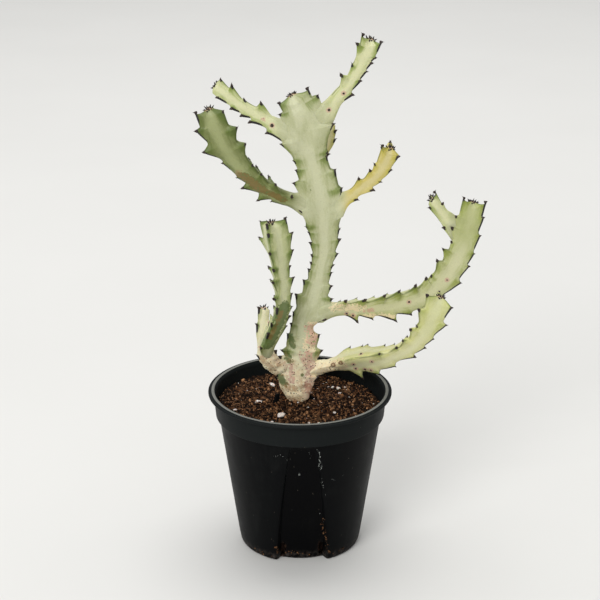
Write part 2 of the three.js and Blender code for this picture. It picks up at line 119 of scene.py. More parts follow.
# Crumbs of mix that stick to the pot: their own form, in mm, then for each streak of them how
# many and the two pixels that they lie between
CRUMB = {"stray": 1.2, "sizes": (0.25, 0.8), "lumps": (0.7, 1.2), "shape": (1.2, 0.8, 0.6),
         "raised": 0.2, "tone": 0.6, "dullness": 1.5}
STUCK = [(46, (321.5, 519), (329, 555)), (16, (276, 546), (279, 555)), (22, (282, 551.5), (310, 553.5)),
         (12, (250, 548), (272, 556)), (8, (331, 554), (345, 548))]

# Potting mix
SOIL_Z = 103
SOIL_DIP = 2
SOIL_TILT = 0.035
SOIL_GAP = 0.3
SOIL_RINGS = {"count": 64, "inner": 0.02}
# How strongly the red of crumbs and of fibres shows
PLAIN_REDNESS = 0.1
FIBRE_REDNESS = 0.6

# Angles from a rib's crest, in degrees, of the lines of points round a stem
CREST_ANGLES = (0, 1.2, 3, 6, 10, 15, 21, 28, 36, 45, 53)
VALLEY_ANGLE = 60
ROW_STEP = 0.9
WING_POWER = 2.2
TOOTH_POWER = 4
LEAN_POWER = 2.4
CREST_ROUND = 2.5
# Points at which a stem's line is measured, and the step between the seeds of stems
LINE_POINTS = 401
SEED_STEP = 101

# A tooth rises from the dip below it, leans towards the tip and falls more quickly
RISE_POWER = 1.35
FALL_POWER = 1.5
FALL_SHARE = 0.3
LEAN_SHARE = 0.2
MOST_LEAN = 2
TOOTH_HEIGHTS = (1.2, 6.5)
# The last teeth of a stem may reach this far past its end
CROWN_REACH = 7
# Steps in which a seen tooth's length and height are looked for, and the pull of its usual height
SCAN = {"length": 0.5, "height": 0.3, "pull": 0.25}
# Least distance in mm between two seen teeth, and between the feet of any two
LEAST_APART = (2, 1)
# Teeth by rule: unevenness of their places, as a share of the pitch, and shares of their height
RULE = {"uneven": 0.12, "heights": (0.7, 1.3)}
# Shares of the pitch: ends of the toothed length, and gaps that get more teeth or one at the tip
TOOTHED = {"before": 0.6, "past": 0.3, "gap": 2.2, "tip_gap": 0.7}
# The tooth that closes such a gap: how far past the tip it is, and its share of the usual height
TIP_TOOTH = (1.5, 0.6)
# Shares of the pitch that a tooth's rise and fall take up at most, and that the first one rises
MOST_RISE = 0.8
MOST_FALL = 0.35
FIRST_RISE = 0.7
# Range of the teeth's own shares of green, and how softly a dark line ends
TOOTH_GREENS = (0.45, 1.15)
LINE_FADE = (0.2, -0.1)
# Share of the rise past a tooth's tip at which its dark line starts
LINE_START = -0.02
# Rings beside every tooth's tip, and the least distance of two rings
TIP_RINGS = (-0.4, 0, 0.35)
LEAST_STEP = 0.12
# Reach of a branch's foot into the looks of its carrier, from its own radius out
FOOT_LOOK = (7, 1)
# Rows of the branch that make up such a foot, and points along them
FOOT_ROWS = 4
FOOT_POINTS = 30
# Shares of a tooth's rise that its dark line runs along
LINE_REACH = (0.1, 0.5)
# Share of a tooth's green that the crest has between the teeth
GREEN_BETWEEN = 0.3
# Distances from a stem's tip, in mm, at which the fresh green of some stems has ended and is full
FRESH_REACH = (48, 16)
# Way from crest to valley that the skin round a branch's foot looks like
PLAIN_VALLEY = 0.55
# Distances from a crest, in mm, at which the dark line has ended and at which it is full
LINE_WIDTH = (1.5, 0.6)
# Shares of green from which a tooth's very crest is dark, and that dark's own distances
DARK_GREEN = (0.9, 1.05)
DARK_WIDTH = (1.4, 0.5)
# Share of pink that the old skin has on the stem's right
AGED_FLUSH = 0.7

# Spine pairs, each on a small dark shield, and rudimentary leaves on the growing tips
SPINE = {"length": 1.6, "radius": 0.36, "sunk": 0.6, "sides": 6, "spread": 0.6, "stray": 0.12,
         "lengths": (0.7, 1.15)}
SHIELD = {"length": 0.9, "radius": 1.15, "sunk": 1.5, "sides": 8, "sizes": (0.8, 1.15),
          "below_tip": 0.25}
# Shares of outward and forward in the way that a pair points, and power of the bulge of a cone
PAIR_WAY = (0.8, 0.5)
BULGE = 0.6
TIP_LEAF = {"length": 2.5, "radius": 0.75, "sunk": 1.0, "sides": 6, "count": 12, "reach": 2.8,
            "lengths": (0.6, 1.2), "lean": 0.35, "stray": 0.3, "drop": 0.12, "below": 0.2}
# Share of a full turn from one leaf to the next
LEAF_TURN = 0.382
# Distances in mm from a spine on a face at which its ring has ended and is full
RING_REACH = (2.8, 0.8)
# A scar's own distances, those of its paler middle, and the middle's strength
SCAR_REACH = (2.6, 1.4)
SCAR_MIDDLE = (0.4, 1.2)
SCAR_STRENGTH = 0.45
# Share of a patch's radius within which it is full
PATCH_CORE = 0.3

# Stems, with lengths in mm from the foot. A row is x, y, z, core radius, rib radius, or core and
# back, left and right rib radii. teeth holds the tooth tips seen in the photograph, in its pixels,
# foot to tip, for rib 0 (back), 1 (left) and 2 (right). A rib that isn't listed is spaced by pitch.
# from is the stem that carries this one, and turn its ribs' turn in degrees at foot and tip.
# bare is the length without teeth at the foot, pitch and tooth their usual distance and height.
# joint is the reach of the carrier's look, and web the share of the usual web at the foot.
# aged gives the lengths at which the old pale skin is full and has ended.
# green and fresh are the shares of the usual green on the teeth and of fresh green at the tip.
# lines says how far the dark lines run, for each rib, and leaves how many the tip has. On the lower ribs
# the long dark lines are partly a horny margin and partly painted shade under the edge.
# patches are one or two pixels and a radius, face_spines a pixel and a size, scars a pixel.
STEMS = {
    "trunk": {
        "slot": "pale_stem", "look": "sage",
        "bare": 20, "pitch": 11.5, "tooth": 3.4, "aged": (12, 76),
        "patches": {
            "green": [(290, 336, 293, 346, 4), (285.5, 352, 289.5, 361, 4.4),
                      (279, 375, 284.5, 384, 4.8), (302.5, 375, 2.6), (310.6, 190, 1.4),
                      (328, 128, 330, 134, 4)],
            "cream": [(289, 391, 299, 400, 8), (309, 350, 312, 326, 7), (296, 376, 6),
                      (313, 366, 316, 374, 6)],
            "pink": [(306, 356, 311, 371, 7), (308, 384, 309, 391, 5), (313, 342, 310, 328, 6),
                     (290.5, 366, 291.5, 381, 4)],
            "brown": [(279, 387, 284, 392, 6), (287, 386, 294, 389, 4), (300, 383, 304, 385, 3.6),
                      (308, 386, 309, 391, 4), (291, 398, 299, 402, 4)],
        },
        "rows": [
            (-3, 13.5, 92, 3, 3.8),
            (-2.8, 13.5, 100, 4.6, 6),
            (-2.6, 14, 105, 7.2, 9.4, 9, 10.2),
            (-2.4, 15.5, 111.5, 8.8, 11.5, 13.8, 12.4),
            (-1.2, 17, 121, 9, 12, 15.6, 12.8),
            (0.8, 17, 133, 8.8, 11.8, 14.2, 12.2),
            (1.6, 17, 146, 8.2, 11.5, 12.4, 11.5),
            (2.4, 17, 156.5, 6.8, 10.5, 10.2, 8),
            (3.8, 17, 163, 6.9, 10.3, 10.4, 8.8),
            (7.8, 18, 172.5, 7.6, 10.5, 11.5, 12.5),
            (13.4, 18, 195, 6, 8.2, 8.4, 8.4),
            (16.8, 18, 217, 6, 9, 9.4, 9.6),
            (15.9, 17, 239, 7.6, 12, 14.5, 13.5),
            (14.5, 17, 250, 8.6, 13.5, 17, 15.5),
            (13.1, 16, 261, 8.6, 13, 16, 15.5),
            (8.2, 15, 279, 7.8, 11.5, 12.5, 12),
            (4.1, 14, 297, 8.8, 13, 16.5, 17),
            (0, 13, 313, 9.4, 13.5, 14, 17),
            (-3.6, 12, 321, 6.8, 10.5, 10.5, 13.5),
        ],
        "teeth": {
            1: [(275.5, 373), (279, 357), (281, 350), (287.7, 333.5), (292.5, 323), (293.3, 311),
                (295.5, 294), (303, 280), (308, 269), (311, 263), (311, 255), (309, 243), (311, 231),
                (311.5, 224.6), (298.5, 211), (293.5, 183), (295.6, 170.5), (294.5, 160), (280, 144.5),
                (280, 114), (284, 99.6)],
            2: [(322.5, 350.4), (319, 335), (326.8, 319.6), (332, 298.7), (332, 285.7), (332, 272.8),
                (332, 264.7), (338, 253.6), (341, 239.4), (339.5, 229), (343.5, 209), (341.6, 187.4),
                (335, 169.7), (327, 156), (321, 151), (334.5, 123.5), (317.3, 96), (303.4, 90)],
        },
    },
    "upper_right_branch": {
        "slot": "pale_stem", "look": "pale", "from": "trunk",
        "turn": (15, 0), "bare": 34, "pitch": 11, "tooth": 3.2, "joint": 9,
        "lines": {1: (0.05, 0.2), 2: (0.6, 1)},
        "face_spines": [(343.6, 93.5, 1.1), (329, 110, 1.3)],
        "rows": [
            (6, 10, 299.7, 4, 5.5),
            (17.5, 6, 314, 4.2, 6),
            (23.5, 4.5, 323.8, 3.8, 5.4),
            (33, 2.5, 336, 3.6, 5),
            (39.6, 0, 348, 3.8, 5.8),
            (44, -3, 358.5, 4.4, 7),
            (45.6, -4.6, 363.5, 4.2, 7.2),
        ],
        "teeth": {
            1: [(337.5, 73), (352, 64), (356, 43), (366, 33)],
            2: [(354, 95), (361, 81), (366, 71), (371, 62), (374.6, 57.5), (382, 42)],
        },
    },
    "upper_left_branch": {
        "slot": "pale_stem", "look": "pale", "from": "trunk",
        "bare": 14, "pitch": 12, "tooth": 3.7, "joint": 9,
        "lines": {1: (0.5, 1), 2: (0.05, 0.3)},
        "face_spines": [(272, 125.5, 1.6)],
        "patches": {"pink": [(263.5, 119.5, 2.6)]},
        "rows": [
            (-1, 11, 294.7, 4, 5.5),
            (-11.5, 8.5, 301.1, 4, 5.6),
            (-25.7, 11, 310.8, 3.6, 5.1),
            (-37.3, 14, 316.3, 3.4, 5),
            (-47.4, 17, 323, 3.5, 5.4),
            (-55.3, 19, 329.1, 3.6, 6),
        ],
        "teeth": {
            1: [(249, 123), (240, 116), (230, 109), (217.5, 96)],
            2: [(259.6, 101), (243, 101), (232, 84), (218.6, 81)],
        },
    },
    "large_left_branch": {
        "slot": "green_stem", "look": "olive", "from": "trunk",
        "turn": (-30, 0), "bare": 16, "pitch": 12, "tooth": 4, "joint": 10,
        "lines": {1: (0.5, 1), 2: (0, 0.1)},
        "patches": {
            "green": [(243, 176, 262, 190, 7), (262, 190, 284, 200, 4.5)],
            "brown": [(240, 174, 262, 190, 6), (262, 190, 284, 200, 4)],
        },
        "rows": [
            (8, 13, 246.4, 4, 5),
            (-1, 10.5, 250.4, 4, 5.1, 4.7, 5.1),
            (-13.7, 7, 256.2, 4.7, 6.4, 5.2, 6.2),
            (-25.8, 2, 265.5, 5.2, 7.6, 5.8, 7.4),
            (-36, -4, 277, 6, 8.8, 6.8, 8.6),
            (-44.3, -9, 289.5, 6.6, 9.8, 8.4, 9.8),
            (-51, -14, 301, 7, 10.6, 10.2, 10.6),
            (-56.4, -18, 313.5, 6.6, 10.4),
            (-58.6, -20, 320, 5, 9),
        ],
        "teeth": {
            0: [(273.5, 169), (260, 161.5), (250, 157)],
            1: [(271, 202), (257, 201), (241, 188.6), (238, 176), (222, 164), (202, 152), (195, 130.5),
                (197, 105)],
            2: [(292, 196.5), (277, 183.6), (262, 174), (251.6, 166), (249, 142), (239, 127),
                (223.6, 110.6)],
        },
    },
    "yellow_right_branch": {
        "slot": "yellow_stem", "look": "yellow", "from": "trunk",
        "bare": 24, "pitch": 11, "tooth": 2.4, "joint": 6, "web": 1.5,
        "lines": {1: (0, 0.05), 2: (0.05, 0.3)},
        "rows": [
            (20, 11, 243.7, 2.5, 3.4),
            (28.9, 9.8, 250.3, 2.5, 3.4),
            (38.9, 6.8, 260.4, 3, 4.3),
            (47.5, 4, 268, 3.4, 5),
            (54, 1, 276, 3.7, 5.6),
            (59, -3, 287.5, 4.2, 6.8),
            (59.9, -4.6, 291, 4, 6.6),
        ],
        "teeth": {
            1: [(358, 178), (369, 170), (374, 164), (378, 148), (389, 143)],
            2: [(358, 200.5), (375, 191), (381, 182), (392, 170), (398, 157)],
        },
    },
    "yellow_back_shoot": {
        "slot": "yellow_stem", "look": "straw", "from": "trunk",
        "bare": 10, "pitch": 8, "tooth": 2.1, "joint": 5,
        "rows": [
            (9, 19, 270, 2.4, 3),
            (15.2, 30, 279, 2.6, 3.6),
            (19.4, 37, 287.5, 3, 4.4),
            (20.8, 41, 297, 2.8, 4.2),
        ],
        "teeth": {2: [(327, 152.5), (333, 138.4), (330.4, 130)]},
    },
    "lower_left_stem": {
        "slot": "pale_stem", "look": "cream", "from": "trunk",
        "bare": 18, "pitch": 13, "tooth": 2.2, "joint": 5, "aged": (14, 44), "web": 0.2,
        "leaves": 5,
        "patches": {
            "pink": [(262, 349, 4), (263, 307, 4), (270, 313, 3), (257, 321, 3), (271, 322, 3)],
            "brown": [(262, 358, 276, 373, 4), (266, 346, 4), (279, 365, 3)],
            "cream": [(266, 352, 276, 364, 6)],
        },
        "rows": [
            (-4, 16, 121, 5, 7),
            (-12.5, 12, 127.5, 4.8, 6.6),
            (-19.5, 9, 132.5, 4.8, 6.6),
            (-23.6, 7, 141, 4.6, 6.6),
            (-25.5, 6, 151, 4, 5.4),
            (-26, 6, 162, 3.4, 4.6),
            (-25, 8, 173, 2.8, 4.2),
        ],
        "teeth": {1: [(260, 354), (257, 324)]},
    },
    "lower_left_shoot": {
        "slot": "green_stem", "look": "mottled", "from": "lower_left_stem",
        "turn": (28, 40), "bare": 10, "pitch": 11, "tooth": 3.5, "joint": 6,
        "patches": {
            "green": [(284, 308, 268, 344, 9)],
            "brown": [(281, 313, 270, 338, 3.2)],
        },
        "rows": [
            (-25, 5, 142, 3.6, 4.6),
            (-22.4, -1, 151.5, 4.2, 5.6),
            (-17.4, -4, 163.5, 4.2, 6),
            (-13.2, -6, 177.5, 4.2, 6.2),
            (-13.1, -6, 192.5, 4.3, 6.4),
            (-14.4, -7, 207.5, 4.6, 7),
            (-16.2, -8, 222, 5.2, 11, 8.6, 10),
            (-18, -9, 233, 5.2, 12, 8.4, 10.6),
            (-19, -10, 239, 4.4, 11, 7.4, 9.5),
        ],
        "teeth": {
            0: [(266.7, 280), (266, 267.5), (257.7, 238), (260.8, 221.6)],
            1: [(276.6, 308.6), (272.4, 299), (271.7, 282.6), (272.7, 270), (269, 253.5),
                (268, 234), (271.8, 219)],
            2: [(287, 326), (288.6, 315), (287, 306), (290.6, 294), (294, 277), (289, 266),
                (293.8, 249.7), (293, 232.6), (280, 219)],
        },
    },
    "lower_right_branch": {
        "slot": "pale_stem", "look": "butter", "from": "trunk",
        "turn": (50, 0), "bare": 60, "pitch": 11, "tooth": 3.7, "joint": 8, "aged": (12, 42),
        "web": 0.5, "lines": {0: (0, 0.1), 1: (0.05, 0.2), 2: (0.7, 1.1)}, "green": 0.6, "fresh": 0.3,
        "face_spines": [(361, 354, 1.2), (371.7, 361.5, 1), (353.5, 364.2, 1), (355.8, 368.5, 1.2),
                        (370.8, 370, 1.1), (365, 369.2, 1)],
        "scars": [(333, 365), (340.5, 363)],
        "patches": {
            "cream": [(318, 370, 342, 366, 8)],
        },
        "rows": [
            (3, 16, 120, 5, 6.6),
            (12.9, 12, 126.7, 3.8, 5),
            (24, 9.5, 130.4, 4, 5.6),
            (34, 7.5, 134.4, 5.2, 8.8),
            (45, 4.5, 137.2, 5.8, 10),
            (56, 1, 139.8, 5.4, 9.2),
            (67, -3, 145, 4.6, 6.6),
            (78, -7, 153.5, 5, 7.4),
            (86.5, -11, 166.5, 5.4, 8.4),
            (91.4, -14, 179, 6, 9.4),
            (95, -15.6, 188, 5, 8.6),
        ],
        "teeth": {
            0: [(351, 346.5), (363, 348), (368, 344.7), (385, 346), (395, 349)],
            1: [(399, 338), (407, 328), (417, 326), (418, 309), (426, 294.5)],
            2: [(363, 380.5), (380.5, 374.5), (395.5, 366), (416, 357.5), (426, 348), (432, 337.5),
                (447, 325.5), (452.5, 308)],
        },
    },
    "middle_right_branch": {
        "slot": "pale_stem", "look": "lime", "from": "trunk",
        "turn": (20, 0), "bare": 16, "pitch": 12, "tooth": 3.2, "joint": 9,
        "lines": {1: (0.05, 0.2), 2: (0.8, 1.2)}, "green": 0.8, "fresh": 0.45,
        "face_spines": [(409, 302, 1), (447, 280, 1), (346.6, 313.5, 1.1), (353, 315.5, 1.1)],
        "patches": {
            "cream": [(334, 307, 362, 308, 5), (366, 316, 392, 317, 4)],
            "pink": [(342, 317, 360, 319, 3), (366, 311, 372, 310, 3)],
        },
        "rows": [
            (6, 15, 165.1, 3.4, 4.4),
            (15.6, 13, 169.1, 3.4, 4.4),
            (32, 15.5, 171.8, 4, 5.8),
            (49.6, 18, 171.7, 4.8, 7.2),
            (67.4, 22, 173.5, 5.8, 9),
            (85.2, 24, 178, 6.2, 9.4),
            (99, 25, 189, 6.4, 10),
            (108, 26, 202, 6.4, 10.2),
            (113.5, 26, 214.5, 6.2, 9.8),
            (116.5, 26, 227, 6, 9.6),
            (118.6, 25, 237, 5.6, 9.4),
            (119.8, 25, 243, 4.6, 8.5),
        ],
        "teeth": {
            1: [(346.6, 300), (366, 299), (383.4, 287), (398.4, 284), (413.6, 283), (425.6, 277.5),
                (432.5, 276.5), (433.5, 258.5), (442, 249), (453.6, 243), (455, 201.6), (472, 195)],
            2: [(358, 323), (373, 320), (397, 322), (412, 315), (437, 302), (461, 283), (470, 266),
                (472, 252.5), (480.6, 236), (483.4, 217.4), (487, 200)],
        },
    },
    "middle_right_shoot": {
        "slot": "pale_stem", "look": "pale", "from": "middle_right_branch",
        "bare": 20, "pitch": 9, "tooth": 1.9, "joint": 6,
        "lines": {0: (0, 0.1), 1: (0, 0.2), 2: (0, 0.1)},
        "rows": [
            (112, 26, 222, 3.4, 4.6),
            (105, 24, 231, 3.4, 5.4),
            (98.5, 22, 239.5, 3.2, 5),
            (94.5, 20, 245.5, 3.2, 4.8),
            (92, 19, 249.5, 2.8, 4.6),
        ],
        "teeth": {1: [(445.5, 226), (428.9, 207.8)], 2: [(432.2, 191.7)]},
    },
}

# Colours, as they look on screen, from 0 to 255
LOOKS = {
    "sage": {"body": (178, 181, 138), "milky": (198, 199, 162), "side": (154, 156, 104),
             "tooth": (118, 134, 58)},
    "pale": {"body": (204, 206, 156), "milky": (216, 216, 170), "side": (168, 180, 100),
             "tooth": (128, 148, 54)},
    "olive": {"body": (122, 130, 74), "milky": (154, 160, 108), "side": (86, 96, 30),
              "tooth": (86, 104, 26)},
    "yellow": {"body": (206, 192, 120), "milky": (210, 198, 140), "side": (200, 182, 84),
               "tooth": (188, 178, 74)},
    "straw": {"body": (218, 210, 150), "milky": (224, 216, 168), "side": (206, 196, 112),
              "tooth": (190, 186, 98)},
    "cream": {"body": (213, 208, 166), "milky": (222, 216, 182), "side": (186, 186, 130),
              "tooth": (112, 132, 68)},
    "mottled": {"body": (184, 188, 136), "milky": (202, 204, 160), "side": (146, 156, 84),
                "tooth": (108, 128, 44)},
    "lime": {"body": (192, 194, 144), "milky": (206, 205, 162), "side": (166, 174, 96),
             "tooth": (136, 148, 52)},
    "butter": {"body": (214, 212, 156), "milky": (220, 218, 172), "side": (200, 200, 116),
               "tooth": (156, 168, 82)},
}
# Look of the skin where a branch of a given look joins its carrier, where that isn't sage
NEAR = {"butter": "cream", "cream": "cream"}
# Kinds of patches that the stems carry, in the order of their attribute's channels
PATCH_KINDS = ("green", "cream", "pink", "brown")
LEAFY = (76, 98, 34)
CREAM = (236, 216, 176)
MAGENTA = (200, 142, 130)
RUST = (112, 74, 44)
BARK = (158, 106, 62)
DEEP = (68, 84, 22)
AGED = (240, 229, 192)
PINK = (208, 158, 142)
TAN = (192, 152, 110)
FLUSH = (206, 150, 132)
SPECK = (58, 40, 28)
# Near-black of the dark lines along the crests: a horny margin, and on the lower ribs partly painted
# shade
HORN_AND_SHADE = (20, 16, 14)
SPINE_TONES = ((16, 12, 11), (62, 40, 30))
LEAF_TONES = ((206, 156, 138), (34, 22, 19))
TRACE_TONES = ((52, 55, 54), (172, 176, 170))
# Tones of the wall and of the collar; the collar's greyer tone is partly its matt finish and partly
# painted light from above
POT_TONES = ((7, 8, 9), (24, 27, 27))
# The ridge paint is a painted highlight along the rim's top ridge
POT_PAINTS = {"panel": (3, 3, 4), "ridge_highlight": (132, 132, 126), "smear": (98, 100, 96),
              "scratch": (130, 130, 124), "dust": (92, 84, 78), "soil": (74, 54, 42),
              "speck": (120, 112, 98)}
MIX_DARK = ((10, 6, 4), (114, 72, 42))
MIX_LIGHT = ((36, 20, 12), (218, 166, 120))
COIR = (160, 100, 58)
PERLITE_TONES = ((196, 180, 168), (244, 238, 232))
FLOOR_TONES = ((218, 217, 213), (223, 222, 218))


def linear(colour):
    """Shader colour of one that is given as it looks on screen."""
    shares = [c / 255 for c in colour]
    return [s / 12.92 if s <= 0.04045 else ((s + 0.055) / 1.055) ** 2.4 for s in shares] + [1.0]


def unit(vectors):
    """Vectors drawn out or in to length 1."""
    return vectors / np.linalg.norm(vectors, axis=-1, keepdims=True)


def smoothstep(low, high, value):
    """0 to 1 as the value goes from low to high, which may run downwards."""
    share = np.clip((value - low) / (high - low), 0, 1)
    return share * share * (3 - 2 * share)


def to_picture(points):
    """Pixels of places in millimetres, in the photograph's frame."""
    away = points - CAMERA_PLACE
    depth = away @ LOOK
    across = PICTURE / 2 + FOCAL_PX * away[..., 0] / depth
    down = PICTURE / 2 - FOCAL_PX * (away @ LOOK_UP) / depth
    return np.stack([across, down], axis=-1)


def ray_through(pixel):
    """Way from the camera to what the photograph shows at a pixel."""
    across, down = np.array(pixel) - PICTURE / 2
    return LOOK * FOCAL_PX + np.array([across, 0, 0]) - LOOK_UP * down


def from_picture(pixel, z):
    """Place at a height, in millimetres, that the photograph shows at a pixel."""
    ray = ray_through(pixel)
    return CAMERA_PLACE + ray * (z - CAMERA_PLACE[2]) / ray[2]


# Waves that make a surface uneven: how many are mixed, their sizes as shares of the size asked,
# and the gain that brings their sum's extremes to about 1. A row is height and size in mm, and seed
WAVES = {"count": 9, "sizes": (0.6, 1.6), "gain": 1.6}
SKIN_WAVES = ((0.25, 16, 5), (0.12, 5, 6))
AGED_WAVES = ((0.6, 7, 8), (0.35, 3.4, 9))
SOIL_WAVES = ((0.5, 20, 11), (0.45, 7, 12), (0.25, 2.4, 13))


def unevenness(points, size, seed):
    """Smooth waves from -1 to 1 over places, each about size across."""
    random = np.random.default_rng(seed)
    total = np.zeros(points.shape[:-1])
    for _ in range(WAVES["count"]):
        direction = unit(random.normal(size=3)) * 2 * math.pi
        direction = direction / (size * random.uniform(*WAVES["sizes"]))
        total += np.sin(points @ direction + random.uniform(0, 2 * math.pi))
    return total / WAVES["count"] * WAVES["gain"]


def layered(points, table):
    """Sum of a table's waves over places, in millimetres."""
    return sum(height * unevenness(points, size, seed) for height, size, seed in table)


# Colour attributes of a piece's points, each with four channels. On a stem they are
# marks: way from crest to valley, green of the teeth, age (below 0 at a fresh tip) and dark line
# more: nearness of the joint, flush of the tip, scars and pink rings
# flow: the place as if the stem were straight, in metres
# tints: the kinds of patches
TITLES = ("marks", "more", "flow", "tints")


class Shell:
    """Points in millimetres, faces and attributes of the closed bodies that make up one piece."""

    def __init__(self):
        self.points, self.faces, self.skins = [], [], []
        self.values = {title: [] for title in TITLES}
        self.count = 0

    def add(self, points, faces, skin=0, **values):
        points = np.asarray(points, float).reshape(-1, 3)
        self.points.append(points)
        self.faces += [tuple(int(k) + self.count for k in face) for face in faces]
        self.skins += [skin] * len(faces)
        for title, kept in self.values.items():
            kept.append(np.broadcast_to(values.get(title, 0.0), (len(points), 4)))
        self.count += len(points)

    def piece(self, name, materials):
        mesh = bpy.data.meshes.new(name)
        places = np.vstack(self.points) * MM
        mesh.from_pydata(places.tolist(), [], self.faces)
        for title, values in self.values.items():
            attribute = mesh.color_attributes.new(title, "FLOAT_COLOR", "POINT")
            attribute.data.foreach_set("color", np.vstack(values).astype(np.float32).ravel())
        for material in materials:
            mesh.materials.append(material)
        mesh.polygons.foreach_set("material_index", self.skins)
        mesh.shade_smooth()
        mesh.update()
        made = bpy.data.objects.new(name, mesh)
        bpy.context.scene.collection.objects.link(made)
        return made


def dress(piece, slot, *nodes):
    """A finished piece rides on the body and stands for the nodes named, which it hides; the slot is not
    used.
    """
    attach(piece, BODY)
    if nodes:
        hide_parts(*nodes)
    return piece


def ring_faces(rings, count, poles=True):
    """Faces between closed rings of points, then a point below the first and one past the last."""
    faces = []
    for i in range(rings - 1):
        for j in range(count):
            a, b = i * count + j, i * count + (j + 1) % count
            faces.append((a, b, b + count, a + count))
    if poles:
        first, last, top = rings * count, rings * count + 1, (rings - 1) * count
        for j in range(count):
            faces.append((first, (j + 1) % count, j))
            faces.append((last, top + j, top + (j + 1) % count))
    return faces


# Rings of a cone, as shares of its length, and directions that no cone or face looks along
CONE_SHARES = (0, 0.35, 0.7)
CONE_ASIDE = (0.31, 0.47, 0.83)
FACE_ASIDE = (0.2, 0.3, 0.9)


def cone(place, direction, length, radius, sunk, sides, power=1.0):
    """Points and faces of a slim closed cone, bulged where power is under 1."""
    direction = unit(np.asarray(direction, float))
    side = unit(np.cross(direction, CONE_ASIDE))
    other = np.cross(direction, side)
    turns = np.arange(sides) * 2 * math.pi / sides
    circle = np.cos(turns)[:, None] * side + np.sin(turns)[:, None] * other
    rings = [
        place + direction * (share * (length + sunk) - sunk) + circle * radius * (1 - share) ** power
        for share in CONE_SHARES
    ]
    poles = [place - direction * sunk, place + direction * length]
    return np.vstack([*rings, poles]), ring_faces(len(CONE_SHARES), sides)


class Shader:
    """A material's nodes, added and linked one by one."""

    def __init__(self, name):
        self.material = bpy.data.materials.new(name)
        self.material.use_nodes = True
        self.tree = self.material.node_tree
        self.surface = self.tree.nodes["Principled BSDF"]
        self.place = self.node("ShaderNodeTexCoord").outputs["Object"]

    def node(self, kind, **settings):
        made = self.tree.nodes.new(kind)
        for key, value in settings.items():
            setattr(made, key, value)
        return made

    def feed(self, socket, value):
        if isinstance(value, bpy.types.NodeSocket):
            self.tree.links.new(value, socket)
        else:
            socket.default_value = value

    def set(self, **inputs):
        for key, value in inputs.items():
            self.feed(self.surface.inputs[key.replace("_", " ")], value)

    def stretched(self, stretch, place):
        mapping = self.node("ShaderNodeMapping")
        self.feed(mapping.inputs["Vector"], place or self.place)
        mapping.inputs["Scale"].default_value = stretch
        return mapping.outputs["Vector"]

    def noise(self, scale, detail=2.0, roughness=0.5, distortion=0.0, stretch=None, place=None):
        made = self.node("ShaderNodeTexNoise")
        self.feed(made.inputs["Vector"], self.stretched(stretch, place) if stretch else self.place)
        made.inputs["Scale"].default_value = scale
        made.inputs["Detail"].default_value = detail
        made.inputs["Roughness"].default_value = roughness
        made.inputs["Distortion"].default_value = distortion
        return made.outputs["Fac"]

    def cells(self, scale, stretch=None):
        made = self.node("ShaderNodeTexVoronoi")
        self.feed(made.inputs["Vector"], self.stretched(stretch, None) if stretch else self.place)
        made.inputs["Scale"].default_value = scale
        return made.outputs["Distance"]

    def flow(self):
        """The place on a stem as if it were straight."""
        return self.node("ShaderNodeAttribute", attribute_name="flow").outputs["Vector"]

    def marks(self, title):
        """Red, green, blue and alpha of a colour attribute."""
        read = self.node("ShaderNodeAttribute", attribute_name=title)
        split = self.node("ShaderNodeSeparateColor")
        self.feed(split.inputs["Color"], read.outputs["Color"])
        return [*split.outputs[:3], read.outputs["Alpha"]]

    def band(self, value, low, high):
        """0 to 1 as the value goes from low to high, which may run downwards."""
        made = self.node("ShaderNodeMapRange", interpolation_type="SMOOTHSTEP")
        self.feed(made.inputs["Value"], value)
        flip = low > high
        made.inputs["From Min"].default_value = min(low, high)
        made.inputs["From Max"].default_value = max(low, high)
        made.inputs["To Min"].default_value = 1.0 if flip else 0.0
        made.inputs["To Max"].default_value = 0.0 if flip else 1.0
        return made.outputs["Result"]

    def sum(self, operation, first, second):
        made = self.node("ShaderNodeMath", operation=operation)
        self.feed(made.inputs[0], first)
        self.feed(made.inputs[1], second)
        return made.outputs["Value"]

    def times(self, first, second):
        return self.sum("MULTIPLY", first, second)

    def plus(self, first, second):
        return self.sum("ADD", first, second)

    def scaled(self, value, gain, base):
        return self.plus(self.times(value, gain), base)

    def wobble(self, value, noise, amount):
        """The value, shifted up and down by a noise that runs from 0 to 1."""
        return self.plus(value, self.times(self.plus(noise, -0.5), amount))

    def mix(self, share, first, second):
        made = self.node("ShaderNodeMix", data_type="RGBA")
        colours = [s for s in made.inputs if s.type == "RGBA"]
        self.feed(made.inputs[0], share)
        self.feed(colours[0], first)
        self.feed(colours[1], second)
        return next(s for s in made.outputs if s.type == "RGBA")

    def blend(self, share, tones):
        """From the first of two tones to the second."""
        return self.mix(share, *(linear(tone) for tone in tones))

    def over(self, colour, mask, strength, paint):
        """The colour with a paint laid over it where the mask says."""
        return self.mix(self.times(mask, strength), colour, linear(paint))

    def bump(self, height, strength, distance):
        made = self.node("ShaderNodeBump")
        made.inputs["Strength"].default_value = strength
        made.inputs["Distance"].default_value = distance
        self.feed(made.inputs["Height"], height)
        self.feed(self.surface.inputs["Normal"], made.outputs["Normal"])


BACK = np.array([0.0, 1.0, 0.0])
RIBS = 3
RIB_ANGLE = 120
RIB_OFFSETS = (0.3, 0, 0.6)


def smooth_line(points, t):
    """Values at t, from 0 to 1, on the smooth line through points, and their slopes there."""
    ends = 2 * points[0] - points[1], 2 * points[-1] - points[-2]
    padded = np.vstack([ends[0], points, ends[1]])
    place = np.clip(t, 0, 1) * (len(points) - 1)
    k = np.minimum(place.astype(int), len(points) - 2)
    w = (place - k)[:, None]
    p0, p1, p2, p3 = (padded[k + n] for n in range(4))
    out, into = (p2 - p0) / 2, (p3 - p1) / 2
    a = 2 * p1 - 2 * p2 + out + into
    b = -3 * p1 + 3 * p2 - 2 * out - into
    return ((a * w + b) * w + out) * w + p1, (3 * a * w + 2 * b) * w + out


